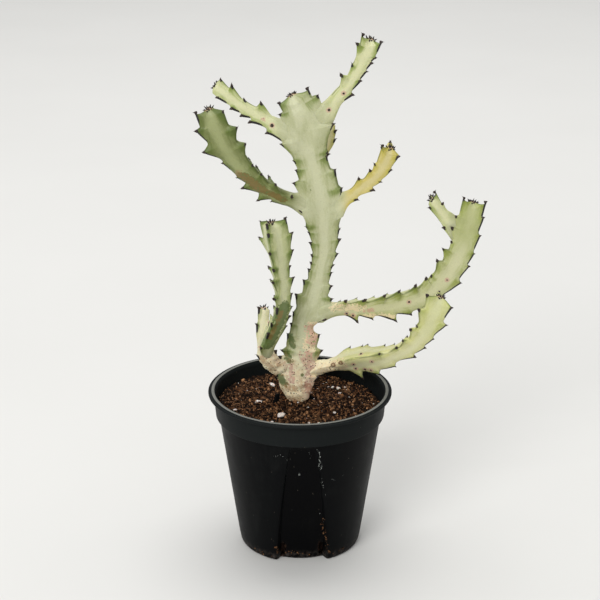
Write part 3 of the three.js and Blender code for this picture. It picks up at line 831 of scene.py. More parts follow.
def crest_columns():
    """Rib number and signed angle from its crest of every line of points round a stem."""
    offsets = [-a for a in reversed(CREST_ANGLES[1:])] + list(CREST_ANGLES) + [VALLEY_ANGLE]
    return np.array([(rib, offset) for rib in range(RIBS) for offset in offsets], float)


COLUMNS = crest_columns()
COLUMN_RIB = COLUMNS[:, 0].astype(int)
COLUMN_ANGLE = RIB_ANGLE * COLUMNS[:, 0] + COLUMNS[:, 1]
# Share of the way from a rib's crest, whose edge is rounded, to the valley
ROUNDED = np.hypot(COLUMNS[:, 1], CREST_ROUND) - CREST_ROUND
FROM_CREST = np.clip(ROUNDED / (math.hypot(VALLEY_ANGLE, CREST_ROUND) - CREST_ROUND), 0, 1)
WING = (1 - FROM_CREST) ** WING_POWER
TOOTH = (1 - FROM_CREST) ** TOOTH_POWER
LEANING = (1 - FROM_CREST) ** LEAN_POWER


def plainer(marks, share):
    """The first two marks, drawn by a share towards those of plain milky skin without green."""
    plain = np.array([PLAIN_VALLEY, 0.0])
    return marks + (plain - marks) * share[..., None]


class Stem:
    """One stem's smooth line with its radii, and the teeth of its three ribs."""

    def __init__(self, name):
        self.name, self.spec = name, STEMS[name]
        rows = [row if len(row) > 5 else row + (row[4], row[4]) for row in self.spec["rows"]]
        self.rows = np.array(rows, float)
        self.shares = np.linspace(0, 1, LINE_POINTS)
        line = smooth_line(self.rows, self.shares)[0][:, :3]
        steps = np.linalg.norm(np.diff(line, axis=0), axis=1)
        self.lengths = np.concatenate([[0], np.cumsum(steps)])
        self.length = self.lengths[-1]
        self.random = np.random.default_rng(len(name) * SEED_STEP + len(rows))
        self.teeth = [self.rib_teeth(rib) for rib in range(RIBS)]

    def at(self, s):
        """Place, radii, directions and turn of the stem at lengths from its foot."""
        s = np.clip(np.atleast_1d(np.asarray(s, float)), 0, self.length)
        values, slopes = smooth_line(self.rows, np.interp(s, self.lengths, self.shares))
        forward = unit(slopes[:, :3])
        back = unit(BACK - forward * (forward @ BACK)[:, None])
        first, last = self.spec.get("turn", (0, 0))
        return {
            "s": s, "place": values[:, :3], "core": values[:, 3], "ribs": values[:, 4:7],
            "forward": forward, "back": back, "left": np.cross(forward, back),
            "turn": np.radians(first + (last - first) * s / self.length),
        }

    @staticmethod
    def outward(here, angles):
        """Directions away from the stem's line, for each length and each angle in degrees."""
        turns = here["turn"][:, None] + np.radians(angles)[None, :]
        return (here["back"][:, None] * np.cos(turns)[..., None]
                + here["left"][:, None] * np.sin(turns)[..., None])

    def crest(self, s, rib):
        """Places on a rib's crest, without teeth, and the directions away from the stem there."""
        here = self.at(s)
        outward = self.outward(here, [RIB_ANGLE * rib])[:, 0]
        past = np.maximum(np.asarray(s, float) - self.length, 0)[:, None]
        place = here["place"] + outward * here["ribs"][:, rib:rib + 1] + here["forward"] * past
        return place, outward, here["forward"]

    def tooth_at(self, pixel, rib):
        """Length and height of the tooth whose tip the photograph shows at a pixel."""
        s = np.arange(self.spec["bare"] / 2, self.length + CROWN_REACH, SCAN["length"])
        heights = np.arange(*TOOTH_HEIGHTS, SCAN["height"])
        crest, outward, _ = self.crest(s, rib)
        tips = crest[:, None] + outward[:, None] * heights[None, :, None]
        away = np.linalg.norm(to_picture(tips) - pixel, axis=-1)
        away = away + np.abs(heights - self.spec["tooth"]) * SCAN["pull"]
        row, column = np.unravel_index(np.argmin(away), away.shape)
        return s[row], heights[column]

    def spaced(self, first, last):
        """Teeth by the stem's own pitch between two lengths, a little uneven."""
        pitch = self.spec["pitch"]
        count = max(int(round((last - first) / pitch)) - 1, 0)
        places = first + (last - first) * (np.arange(count) + 1) / (count + 1)
        places = places + self.random.uniform(-RULE["uneven"], RULE["uneven"], count) * pitch
        return list(zip(places, self.spec["tooth"] * self.random.uniform(*RULE["heights"], count)))

    def tooth_tips(self, rib):
        """Lengths and heights of one rib's teeth: those seen, with gaps filled by rule."""
        pitch = self.spec["pitch"]
        found = sorted(self.tooth_at(pixel, rib) for pixel in self.spec["teeth"].get(rib, []))
        seen = [t for n, t in enumerate(found) if n == 0 or t[0] - found[n - 1][0] > LEAST_APART[0]]
        first = self.spec["bare"] + pitch * (RIB_OFFSETS[rib] - TOOTHED["before"])
        ends = [first, *[t[0] for t in seen], self.length + pitch * TOOTHED["past"]]
        gaps = [(a, b) for a, b in zip(ends, ends[1:]) if b - a > TOOTHED["gap"] * pitch or not seen]
        teeth = sorted(seen + [t for a, b in gaps for t in self.spaced(a, b)])
        if self.length - teeth[-1][0] > TOOTHED["tip_gap"] * pitch:
            past, share = TIP_TOOTH
            teeth.append((self.length + past, share * self.spec["tooth"]))
        return (np.array(values) for values in zip(*teeth))

    def rib_teeth(self, rib):
        """Lengths, heights, leans, dark lines and greens of one rib's teeth."""
        tips, heights = self.tooth_tips(rib)
        before = np.diff(tips, prepend=tips[0] - self.spec["pitch"])
        feet = tips - np.minimum(before * LEAN_SHARE, MOST_LEAN)
        feet = np.minimum(feet, self.length + TIP_RINGS[0])
        keep = np.append(np.diff(feet) > LEAST_APART[1], True)
        reach = self.spec.get("lines", {}).get(rib, LINE_REACH)
        return {
            "tips": feet[keep], "heights": heights[keep], "leans": (tips - feet)[keep],
            "lines": self.random.uniform(*reach, keep.sum()),
            "greens": self.random.uniform(*TOOTH_GREENS, keep.sum()) * self.spec.get("green", 1),
        }

    def tooth_profile(self, s, rib):
        """Height, lean, dark line and green of a rib's teeth at each length."""
        teeth = self.teeth[rib]
        tips, pitch = teeth["tips"], self.spec["pitch"]
        dips = tips[:-1] + FALL_SHARE * np.diff(tips)
        ends = tips[0] - FIRST_RISE * pitch, tips[-1] + FALL_SHARE * pitch
        dips = np.concatenate([ends[:1], dips, ends[1:]])
        k = np.clip(np.searchsorted(dips, s) - 1, 0, len(tips) - 1)
        rise = np.minimum(tips[k] - dips[k], MOST_RISE * pitch)
        fall = np.minimum(dips[k + 1] - tips[k], MOST_FALL * pitch)
        share = np.where(
            s <= tips[k],
            np.clip(1 - (tips[k] - s) / rise, 0, 1) ** RISE_POWER,
            np.clip(1 - (s - tips[k]) / fall, 0, 1) ** FALL_POWER,
        )
        below = (tips[k] - s) / rise
        reach = teeth["lines"][k]
        faded = smoothstep(reach + LINE_FADE[0], reach + LINE_FADE[1], below)
        line = np.where(below >= LINE_START, faded, 0)
        green = (GREEN_BETWEEN + (1 - GREEN_BETWEEN) * share) * np.interp(s, tips, teeth["greens"])
        return share * teeth["heights"][k], share * teeth["leans"][k], line, green

    def row_lengths(self):
        """Lengths of the rings: even steps, with some on each side of every tooth's tip."""
        tips = np.concatenate([teeth["tips"] for teeth in self.teeth])
        near = np.concatenate([tips + shift for shift in TIP_RINGS])
        even = np.arange(0, self.length, ROW_STEP)
        s = np.sort(np.concatenate([even, near[(near > 0) & (near < self.length)]]))
        keep = np.diff(s, prepend=-1) > LEAST_STEP
        return np.append(s[keep & (s < self.length - LEAST_STEP)], self.length)

    def surface(self):
        """Rings of points from foot to tip, with their marks."""
        here = self.at(self.row_lengths())
        s = here["s"]
        profiles = [self.tooth_profile(s, rib) for rib in range(RIBS)]
        height, lean, line, green = (np.stack(v, axis=1)[:, COLUMN_RIB] for v in zip(*profiles))
        core = here["core"][:, None]
        body = core + (here["ribs"][:, COLUMN_RIB] - core) * WING
        radius = body + height * TOOTH
        outward = self.outward(here, COLUMN_ANGLE)
        points = (here["place"][:, None] + outward * radius[..., None]
                  + here["forward"][:, None] * (lean * LEANING)[..., None])
        age = self.age(s)[:, None]
        uneven = layered(points, SKIN_WAVES) + age * layered(points, AGED_WAVES)
        points = points + outward * uneven[..., None]
        across = radius * np.abs(np.sin(np.radians(COLUMNS[:, 1])))
        marks = np.zeros((*radius.shape, 4))
        marks[..., 0] = FROM_CREST
        marks[..., 1] = green * (1 - FROM_CREST) ** 2
        fresh = self.spec.get("fresh", 0) * smoothstep(*FRESH_REACH, self.length - s)[:, None]
        # Old skin is only at feet and fresh green only at tips, so one channel holds both
        marks[..., 2] = age - fresh
        marks[..., 3] = np.maximum(line * smoothstep(*LINE_WIDTH, across),
                                   smoothstep(*DARK_GREEN, green) * smoothstep(*DARK_WIDTH, across))
        marks[..., :2] = plainer(marks[..., :2], self.near_feet(points))
        more = np.zeros_like(marks)
        more[..., 3] = AGED_FLUSH * age * np.maximum(outward[..., 0], 0)
        return here, points, {"marks": marks, "more": more, "flow": self.straight(s, body)}

    def near_feet(self, points):
        """1 at the feet of the branches that this stem carries, down to 0 away from them."""
        near = np.zeros(points.shape[:-1])
        for spec in STEMS.values():
            if spec.get("from") == self.name:
                places = np.array([row[:3] for row in spec["rows"][:FOOT_ROWS]], float)
                line = smooth_line(places, np.linspace(0, 1, FOOT_POINTS))[0]
                away = np.min([np.linalg.norm(points - place, axis=-1) for place in line], axis=0)
                ends = (spec["rows"][1][4] + past for past in FOOT_LOOK)
                near = np.maximum(near, smoothstep(*ends, away))
        return near

    @staticmethod
    def straight(s, radius):
        """Places on the stem as if it were a straight round rod with the same way round it."""
        mean = radius.mean(axis=0)
        turns = np.radians(COLUMN_ANGLE)
        section = np.stack([mean * np.cos(turns), mean * np.sin(turns)], axis=1)
        steps = np.linalg.norm(np.roll(section, -1, axis=0) - section, axis=1)
        around = np.concatenate([[0], np.cumsum(steps)[:-1]]) / steps.sum() * 2 * math.pi
        rod = steps.sum() / (2 * math.pi)
        flow = np.zeros((*radius.shape, 4))
        flow[..., 0] = rod * np.cos(around) * MM
        flow[..., 1] = rod * np.sin(around) * MM
        flow[..., 2] = s[:, None] * MM
        return flow

    def age(self, s):
        """1 where the skin is old, down to 0 where it isn't."""
        if "aged" not in self.spec:
            return s * 0
        low, high = self.spec["aged"]
        return 1 - smoothstep(low, high, s)


# Rise of the growing point over the last ring, as a share of the ribs' radius there, and the
# shares of the way in to it
TIP_RISE = 0.45
CROWN_SHARES = (0.08, 0.18, 0.3, 0.44, 0.58, 0.72, 0.86)
# Shares of the way in at which the tip's pink flush starts and is full
CROWN_FLUSH = (0.35, 0.95)
# A stem's foot widens into a web along its carrier, within reach of the carrier's surface, and
# thins out inside the carrier
FOOT = {"reach": 10.0, "web": 4.5, "rows": 40, "sunk": 10.0, "thin": 0.35, "full": 2}


def tip_rise(here):
    """Height of the growing point over the last ring."""
    return TIP_RISE * here["ribs"][-1].mean()


def crowned(here, points, values):
    """The rings with a low crown closed over the last one, inside its teeth."""
    middle, forward = here["place"][-1], here["forward"][-1]
    offset = points[-1] - middle
    along = (offset @ forward)[:, None]
    across = offset - along * forward
    rings = []
    for u in CROWN_SHARES:
        rise = along * (1 - u) ** 3 + tip_rise(here) * (1 - (1 - u) ** 2)
        rings.append(middle + across * (1 - u) + forward * rise)
    crown = {title: np.repeat(rows[-1:], len(rings), axis=0) for title, rows in values.items()}
    crown["marks"][..., 3] = 0
    crown["more"][..., 1] = smoothstep(*CROWN_FLUSH, np.array(CROWN_SHARES))[:, None]
    joined = {title: np.concatenate([rows, crown[title]]) for title, rows in values.items()}
    return np.concatenate([points, rings]), joined


def distance(carrier, point):
    """Distance of a point from a closed surface, below 0 inside it."""
    place, normal, _, gap = carrier.find_nearest(Vector(point))
    facing = (Vector(point) - place).dot(normal)
    return -gap if facing < -0.5 * gap else gap


def along_carrier(carrier, place):
    """Direction of the carrier's own line where it passes nearest to a place."""
    away = np.linalg.norm(carrier["places"] - place, axis=1)
    return carrier["forwards"][np.argmin(away)]


def seated(stem, here, points, values, carrier):
    """Thins the foot inside its carrier, widens it along the carrier and marks how near that is."""
    near = np.flatnonzero(here["s"] < FOOT["rows"])
    gaps = np.array([distance(carrier["surface"], place) for place in here["place"][near]])
    way_out = here["s"][near][np.argmax(gaps > 0)]
    ends = way_out - FOOT["sunk"], way_out - FOOT["full"]
    thin = FOOT["thin"] + (1 - FOOT["thin"]) * smoothstep(*ends, here["s"])
    web = FOOT["web"] * stem.spec.get("web", 1)
    for i in near:
        axis = along_carrier(carrier, here["place"][i])
        for j in range(points.shape[1]):
            away = distance(carrier["surface"], points[i, j])
            share = min(max(1 - away / FOOT["reach"], 0), 1)
            offset = points[i, j] - here["place"][i]
            along = offset @ axis
            across = offset - along * axis
            wider = along + web * share * share * along / max(np.linalg.norm(offset), 0.1)
            points[i, j] = here["place"][i] + across * thin[i] + axis * wider
            values["more"][i, j, 0] = min(max(1 - away / stem.spec["joint"], 0), 1)
    values["marks"][..., :2] = plainer(values["marks"][..., :2], values["more"][..., 0])


def add_spines(shell, stem):
    """A pair of short dark spines on every tooth."""
    for rib in range(RIBS):
        teeth = stem.teeth[rib]
        crest, outward, forward = stem.crest(teeth["tips"], rib)
        side = np.cross(outward, forward)
        tips = (crest + outward * (teeth["heights"] - SHIELD["below_tip"])[:, None]
                + forward * teeth["leans"][:, None])
        ways = outward * PAIR_WAY[0] + forward * PAIR_WAY[1]
        for n, tip in enumerate(tips):
            add_spine_pair(shell, stem, tip, ways[n], side[n])


def add_spine_pair(shell, stem, place, way, side, larger=1.0):
    """Two spines on a shield, that lean apart by the side direction."""
    size = stem.random.uniform(*SHIELD["sizes"]) * larger
    shield = SHIELD["length"] * size, SHIELD["radius"] * size, SHIELD["sunk"], SHIELD["sides"]
    shell.add(*cone(place, way, *shield, BULGE), skin=1)
    for hand in (-1, 1):
        lean = way + side * hand * SPINE["spread"] + stem.random.normal(size=3) * SPINE["stray"]
        length = SPINE["length"] * stem.random.uniform(*SPINE["lengths"])
        shell.add(*cone(place, lean, length, SPINE["radius"], SPINE["sunk"], SPINE["sides"]), skin=1)


def seen_on(surface, pixel):
    """Place and outward direction of the point of a surface that a pixel shows."""
    place, normal, _, _ = surface.ray_cast(Vector(CAMERA_PLACE), Vector(ray_through(pixel)))
    return None if place is None else (np.array(place), np.array(normal))


def add_face_spots(shell, stem, surface, places, more):
    """Spines that stand on the faces, with a pink ring, and round brown scars."""
    for *pixel, larger in stem.spec.get("face_spines", []):
        spot = seen_on(surface, pixel)
        if spot:
            away = np.linalg.norm(places - spot[0], axis=-1)
            more[:, 3] = np.maximum(more[:, 3], smoothstep(*RING_REACH, away))
            side = unit(np.cross(spot[1], FACE_ASIDE))
            add_spine_pair(shell, stem, spot[0], spot[1], side, larger)
    for pixel in stem.spec.get("scars", []):
        spot = seen_on(surface, pixel)
        if spot:
            away = np.linalg.norm(places - spot[0], axis=-1)
            edge = SCAR_STRENGTH + (1 - SCAR_STRENGTH) * smoothstep(*SCAR_MIDDLE, away)
            more[:, 2] = np.maximum(more[:, 2], smoothstep(*SCAR_REACH, away) * edge)


def patches(stem, surface, places):
    """How strongly each kind of patch colours each point.

    A patch is a pixel or the two pixels that it runs between, and its radius in millimetres."""
    tints = np.zeros((len(places), 4))
    for kind, title in enumerate(PATCH_KINDS):
        for *pixels, radius in stem.spec.get("patches", {}).get(title, []):
            ends = [seen_on(surface, pixel) for pixel in zip(pixels[::2], pixels[1::2])]
            if None in ends:
                continue
            first, last = ends[0][0], ends[-1][0]
            way = last - first
            along = np.clip((places - first) @ way / max(way @ way, 1e-6), 0, 1)
            away = np.linalg.norm(places - first - along[:, None] * way, axis=1)
            tints[:, kind] = np.maximum(tints[:, kind], smoothstep(radius, PATCH_CORE * radius, away))
    return tints


def add_tip_leaves(shell, stem):
    """A tuft of tiny leaves round the growing tip, dark with pink feet."""
    end = stem.at(stem.length)
    middle, forward = end["place"][0], end["forward"][0]
    count = stem.spec.get("leaves", TIP_LEAF["count"])
    outward = stem.outward(end, np.arange(count) * 360 * LEAF_TURN)[0]
    ripeness = np.zeros((3 * TIP_LEAF["sides"] + 2, 4))
    ripeness[TIP_LEAF["sides"]:, 0] = 1
    ripeness[-2, 0] = 0
    for n in range(count):
        away = TIP_LEAF["reach"] * math.sqrt((n + 0.3) / count)
        rise = tip_rise(end) - TIP_LEAF["below"] - TIP_LEAF["drop"] * away ** 2
        stray = stem.random.normal(size=3) * TIP_LEAF["stray"]
        way = forward + outward[n] * away * TIP_LEAF["lean"] + stray
        length = TIP_LEAF["length"] * stem.random.uniform(*TIP_LEAF["lengths"])
        size = length, TIP_LEAF["radius"], TIP_LEAF["sunk"], TIP_LEAF["sides"]
        points, faces = cone(middle + forward * rise + outward[n] * away, way, *size, BULGE)
        shell.add(points, faces, 2, marks=ripeness)


def make_stem(name, carriers):
    """The fine stem that stands for one packed stem, thinned inside and widened to meet its carrier."""
    stem = Stem(name)
    here, points, values = stem.surface()
    if "from" in stem.spec:
        seated(stem, here, points, values, carriers[stem.spec["from"]])
    points, values = crowned(here, points, values)
    foot = here["place"][0] - here["forward"][0]
    tip = here["place"][-1] + here["forward"][-1] * tip_rise(here)
    places = np.vstack([points.reshape(-1, 3), foot, tip])
    faces = ring_faces(len(points), points.shape[1])
    values = {title: np.vstack([rows.reshape(-1, 4), rows[0, -1], rows[-1, -1]])
              for title, rows in values.items()}
    surface = BVHTree.FromPolygons(places.tolist(), faces)
    carriers[name] = {"surface": surface, "places": here["place"], "forwards": here["forward"]}
    shell = Shell()
    add_face_spots(shell, stem, surface, places, values["more"])
    shell.add(places, faces, 0, tints=patches(stem, surface, places), **values)
    add_spines(shell, stem)
    add_tip_leaves(shell, stem)
    piece = shell.piece(name + "_fine", [skin(stem.spec["look"]), spine_horn(), leaf_tip()])
    return dress(piece, stem.spec["slot"], name)


def once(make):
    """A material function that makes its material once for each set of arguments."""
    made = {}

    def kept(*arguments):
        if arguments not in made:
            made[arguments] = make(*arguments)
        return made[arguments]

    return kept


class Skin(Shader):
    """Waxy skin: milky down the faces, green on the teeth, dark along their lower edges."""

    def __init__(self, look):
        super().__init__(look + "_skin")
        self.colours = {key: linear(value) for key, value in LOOKS[look].items()}
        self.near = {key: linear(value) for key, value in LOOKS[NEAR.get(look, "sage")].items()}
        self.valley, self.tooth, self.age, self.line = self.marks("marks")
        self.joint, self.tip, self.scar, self.halo = self.marks("more")
        self.leafy, self.cream, self.pink, self.brown = self.marks("tints")
        flow = self.flow()
        self.strands = self.noise(420, 4, 0.6, 0.5, (1, 1, 0.22), flow)
        self.flames = self.noise(190, 3, 0.6, 0.8, (1, 1, 0.3), flow)
        self.patchy = self.noise(240, 4, 0.6, 0.4)
        self.fine = self.noise(1100, 3, 0.6)
        self.speckle = self.band(self.noise(560, 4, 0.7), 0.36, 0.64)
        self.share = self.band(self.joint, 0.0, 1.0)
        self.finish(self.spotted(self.patched(self.greens(self.ground()))))

    def tone(self, key):
        """A colour of the look, or that of the carrier's look near the joint."""
        return self.mix(self.share, self.colours[key], self.near[key])

    def ground(self):
        """Body colour, milky down the faces, yellower beside the crests and green at fresh tips."""
        milk = self.band(self.wobble(self.valley, self.flames, 1.2), 0.15, 0.85)
        colour = self.mix(milk, self.tone("body"), self.tone("milky"))
        edge = self.times(self.band(self.strands, 0.44, 0.62), self.band(self.valley, 0.75, 0.15))
        colour = self.mix(self.times(edge, 0.5), colour, self.tone("side"))
        return self.mix(self.band(self.age, 0.0, -1.0), colour, self.tone("tooth"))

    def greens(self, colour):
        """Green on the teeth and on the crests between them, deeper in strands."""
        green = self.band(self.wobble(self.tooth, self.strands, 0.8), 0.12, 0.6)
        colour = self.mix(self.times(green, 0.85), colour, self.tone("tooth"))
        inner = self.band(self.wobble(self.tooth, self.flames, 0.6), 0.4, 0.85)
        deep = self.times(inner, self.band(self.strands, 0.42, 0.56))
        colour = self.over(colour, deep, 0.6, DEEP)
        margin = self.times(self.band(self.valley, 0.08, 0.02), self.band(self.flames, 0.4, 0.54))
        return self.over(colour, margin, 0.6, DEEP)

    def patch(self, colour, mask, strength, paint, ragged=1.1):
        """A patch of paint with a ragged edge."""
        inside = self.band(self.wobble(mask, self.speckle, ragged), 0.56, 0.8)
        return self.over(colour, inside, strength, paint)

    def patched(self, colour):
        """Old skin at the foot, the patches, the rings round spines and the tip's flush."""
        worn = self.band(self.tooth, 0.5, 0.1)
        old = self.times(self.band(self.wobble(self.age, self.patchy, 0.7), 0.2, 0.8), worn)
        colour = self.mix(old, colour, linear(AGED))
        colour = self.patch(colour, self.cream, 0.85, CREAM)
        colour = self.patch(colour, self.leafy, 0.85, LEAFY, 0.5)
        ring = self.band(self.wobble(self.halo, self.patchy, 0.9), 0.15, 0.75)
        colour = self.over(colour, ring, 0.6, PINK)
        colour = self.patch(colour, self.pink, 0.6, MAGENTA)
        colour = self.patch(colour, self.brown, 0.42, BARK, 0.8)
        corky = self.times(self.band(self.noise(160, 4, 0.6, 0.8), 0.5, 0.62), self.age)
        colour = self.over(colour, corky, 0.5, TAN)
        return self.over(colour, self.band(self.tip, 0.3, 1.0), 0.6, FLUSH)

    def spotted(self, colour):
        """Fine specks, dots on old and patched skin, round scars and the teeth's dark lines."""
        colour = self.over(colour, self.band(self.fine, 0.3, 0.75), 0.08, SPECK)
        dots = self.times(self.band(self.cells(620), 0.32, 0.18),
                          self.band(self.noise(300, 2), 0.45, 0.56))
        many = self.plus(self.times(self.age, 0.7), self.times(self.cream, 0.5))
        many = self.plus(many, self.scaled(self.pink, 0.7, 0.1))
        colour = self.mix(self.times(dots, many), colour, linear(SPECK))
        scarred = self.band(self.wobble(self.scar, self.fine, 0.6), 0.2, 0.8)
        colour = self.over(colour, scarred, 0.85, RUST)
        # Dark lines along the crests: a horny margin at the teeth, and on the lower ribs partly painted
        # shade under the edge
        lined = self.band(self.wobble(self.line, self.fine, 0.5), 0.3, 0.7)
        return self.mix(lined, colour, linear(HORN_AND_SHADE))

    def finish(self, colour):
        """A satin surface with a little depth and fine wrinkles."""
        self.set(
            Base_Color=colour,
            Roughness=self.scaled(self.fine, 0.25, 0.4),
            Subsurface_Weight=0.12,
            Subsurface_Radius=(1.0, 0.8, 0.4),
            Subsurface_Scale=0.003,
        )
        coarse = self.times(self.noise(420, 3, 0.6), 0.6)
        self.bump(self.plus(self.times(self.fine, 0.4), coarse), 0.35, 0.0005)


@once
def skin(look):
    """The skin of a look."""
    return Skin(look).material


@once
def spine_horn():
    """Near-black horn with a brown tinge."""
    s = Shader("spine_horn")
    colour = s.blend(s.noise(900, 3), SPINE_TONES)
    s.set(Base_Color=colour, Roughness=s.scaled(s.noise(1500), 0.3, 0.3))
    s.bump(s.noise(2500), 0.2, 0.0002)
    return s.material


@once
def leaf_tip():
    """Dark young leaves, pink at their feet."""
    s = Shader("leaf_tip")
    ripe = s.band(s.wobble(s.marks("marks")[0], s.noise(700, 3), 0.8), 0.1, 0.7)
    colour = s.blend(ripe, LEAF_TONES)
    s.set(Base_Color=colour, Roughness=s.scaled(s.noise(1500), 0.3, 0.35))
    s.bump(s.noise(2500), 0.2, 0.0002)
    return s.material


def wall_radius(z):
    """Radius of the wall below the collar."""
    share = (z - WALL_FOOT_Z) / (COLLAR_Z - WALL_FOOT_Z)
    return WALL_FOOT_RADIUS + (WALL_TOP_RADIUS - WALL_FOOT_RADIUS) * share


def pot_outline():
    """Corners of the pot's section, up the outside, over the rim and down inside.

    A corner is its radius, height, share of the panels' depth, how far the side of a panel's
    step lies behind the outer one, and how far the corner is rounded."""
    wall_top = COLLAR_Z - PANEL_FADE_HEIGHT
    inner_top = wall_top - 1
    return [
        (PANEL_FADE_RADIUS, 0, 0, 0, 1),
        (FOOT_RADIUS, 0, 1, 0, 1),
        (FOOT_RADIUS + FOOT_ROUND[0], FOOT_ROUND[1], 1, 0, 1.2),
        (WALL_FOOT_RADIUS, WALL_FOOT_Z, 1, 0, 2.5),
        (wall_radius(wall_top), wall_top, PANEL_TOP_SHARE, 0, 1),
        (WALL_TOP_RADIUS, COLLAR_Z, 0, 0, 0.5),
        (COLLAR_FOOT_RADIUS, COLLAR_Z + 0.6, 0, 0, 0.5),
        (COLLAR_TOP_RADIUS, POT_HEIGHT - BEAD_HEIGHT, 0, 0, 0.8),
        (BEAD_RADIUS, POT_HEIGHT - BEAD_HEIGHT, 0, 0, 1),
        (BEAD_RADIUS, POT_HEIGHT - 0.7, 0, 0, 0.6),
        (BEAD_RADIUS - 1.5, POT_HEIGHT - 0.9, 0, 0, 0.6),
        (LIP_RADIUS + 1.2, POT_HEIGHT, 0, 0, 0.6),
        (LIP_RADIUS - 0.6, POT_HEIGHT, 0, 0, 0.6),
        (COLLAR_TOP_RADIUS - WALL - 0.4, POT_HEIGHT - 2.4, 0, 0, 0.8),
        (COLLAR_FOOT_RADIUS - WALL, COLLAR_Z + 1.5, 0, 0, 0.5),
        (WALL_TOP_RADIUS - WALL, COLLAR_Z + 0.5, 0, 0, 0.5),
        (wall_radius(inner_top) - WALL, inner_top, PANEL_TOP_SHARE, WALL, 1),
        (WALL_FOOT_RADIUS - WALL, WALL_FOOT_Z, 1, WALL, 1.5),
        (FOOT_RADIUS - WALL, FLOOR, 1, WALL, 1),
        (PANEL_FADE_RADIUS - WALL, FLOOR, 0, 0, 1),
    ]


def rounded(corners, step=OUTLINE_STEP):
    """Points of an outline with its corners rounded and its long stretches divided."""
    corners = [np.array(corner, float) for corner in corners]
    points = [corners[0][:4]]
    for before, corner, after in zip(corners, corners[1:], corners[2:]):
        middle = corner[:4]
        into, out = before[:4] - middle, after[:4] - middle
        start = middle + into * min(corner[4] / np.linalg.norm(into[:2]), CORNER_MOST)
        end = middle + out * min(corner[4] / np.linalg.norm(out[:2]), CORNER_MOST)
        for t in CORNER_SHARES:
            points.append(start * (1 - t) ** 2 + middle * 2 * t * (1 - t) + end * t * t)
    points.append(corners[-1][:4])
    fine = [points[0]]
    for a, b in zip(points, points[1:]):
        count = max(1, math.ceil(np.linalg.norm((b - a)[:2]) / step))
        fine += [a + (b - a) * (n + 1) / count for n in range(count)]
    return np.array(fine)


def pot_turns(z, widen):
    """Angles from the panel's middle and depths of the points across one repeat of the wall."""
    share = np.clip(z / POT_HEIGHT, 0, 1)
    half = PANEL_FOOT_ANGLE + (PANEL_TOP_ANGLE - PANEL_FOOT_ANGLE) * share + widen
    edge = half + PANEL_EDGE_ANGLE
    sector = 360 / PANEL_COUNT
    steps = np.array(EDGE_SHARES)
    panel = np.linspace(-half, half, PANEL_POINTS)
    rising = half + PANEL_EDGE_ANGLE * steps
    plain = np.linspace(edge, sector - edge, PLAIN_POINTS)
    falling = sector - edge + PANEL_EDGE_ANGLE * steps
    turns = np.concatenate([panel, rising, plain, falling])
    depth = 1 - smoothstep(half, edge, np.minimum(np.abs(turns), sector - turns))
    return turns, depth


def pot_ring(r, z, inset, behind=0, clearance=0):
    """One ring of the pot or of the mix in it."""
    turns, depth = pot_turns(z, math.degrees((behind + 2 * clearance) / r))
    sectors = [PANEL_FACING + 360 * n / PANEL_COUNT for n in range(PANEL_COUNT)]
    angles = np.radians(np.concatenate([turns + start for start in sectors]))
    depth = np.tile(depth, PANEL_COUNT) * inset
    radius = r - clearance - depth * PANEL_INSET
    return np.stack([radius * np.cos(angles), radius * np.sin(angles), np.full(len(angles), z)], 1)


def pot_marks(points):
    """Collar, the top ridge's painted highlight, panel, floor dust and dirt of the pot at places in
    millimetres.
    """
    x, y, z = points.T
    sector = 360 / PANEL_COUNT
    turn = (np.degrees(np.arctan2(y, x)) - PANEL_FACING + sector / 2) % sector - sector / 2
    half = PANEL_FOOT_ANGLE + (PANEL_TOP_ANGLE - PANEL_FOOT_ANGLE) * np.clip(z / POT_HEIGHT, 0, 1)
    collar = smoothstep(COLLAR_Z - 0.5, COLLAR_Z + 0.5, z)
    around = np.hypot(x, y)
    # The top ridge gets a painted highlight, kept in the collar's channel
    ridge_highlight = (around > RIDGE_HIGHLIGHT_RADII[0]) * (around < RIDGE_HIGHLIGHT_RADII[1]) * (z > POT_HEIGHT - 0.3)
    panel = smoothstep(half + 1, half - 0.5, np.abs(turn)) * (1 - collar)
    dust = smoothstep(*DUST_HEIGHTS, z)
    from_slit = np.abs(np.abs(turn) - half + SLIT["inside_edge"]) / DIRT_WIDTH
    dirt = np.exp(-from_slit ** 2) * smoothstep(*DIRT_HEIGHTS, z)
    return np.stack([collar * 0.5 + ridge_highlight * 0.5, panel, dust, dirt], axis=-1)


def mark_pot(piece):
    """Marks every vertex of the finished pot by its place."""
    mesh = piece.data
    places = np.empty(len(mesh.vertices) * 3)
    mesh.vertices.foreach_get("co", places)
    marks = pot_marks(places.reshape(-1, 3) / MM)
    mesh.color_attributes["marks"].data.foreach_set("color", marks.astype(np.float32).ravel())


# Signs of a square's corners, anticlockwise
SQUARE = ((-1, -1), (1, -1), (1, 1), (-1, 1))


def cutters():
    """Round drainage holes in the floor and slits at the panels' lower corners."""
    shell = Shell()
    around = np.arange(CUTTER_SIDES) * 2 * math.pi / CUTTER_SIDES
    circle = np.stack([np.cos(around), np.sin(around)], 1) * DRAIN["radius"]
    ends = -CUTTER_PAST, FLOOR + CUTTER_PAST
    for n in range(DRAIN["count"]):
        turn = (n + 0.5) / DRAIN["count"] * 2 * math.pi
        middle = np.array([math.cos(turn), math.sin(turn)]) * DRAIN["ring"]
        rings = [np.column_stack([circle + middle, np.full(CUTTER_SIDES, z)]) for z in ends]
        poles = [[*middle, z] for z in ends]
        shell.add(np.vstack([*rings, poles]), ring_faces(2, CUTTER_SIDES))
    for panel in range(PANEL_COUNT):
        for side in (-1, 1):
            angle = PANEL_FACING + 360 * panel / PANEL_COUNT
            angle += side * (PANEL_FOOT_ANGLE - SLIT["inside_edge"])
            add_slit(shell, math.radians(angle))
    return shell.piece("cutters", [])


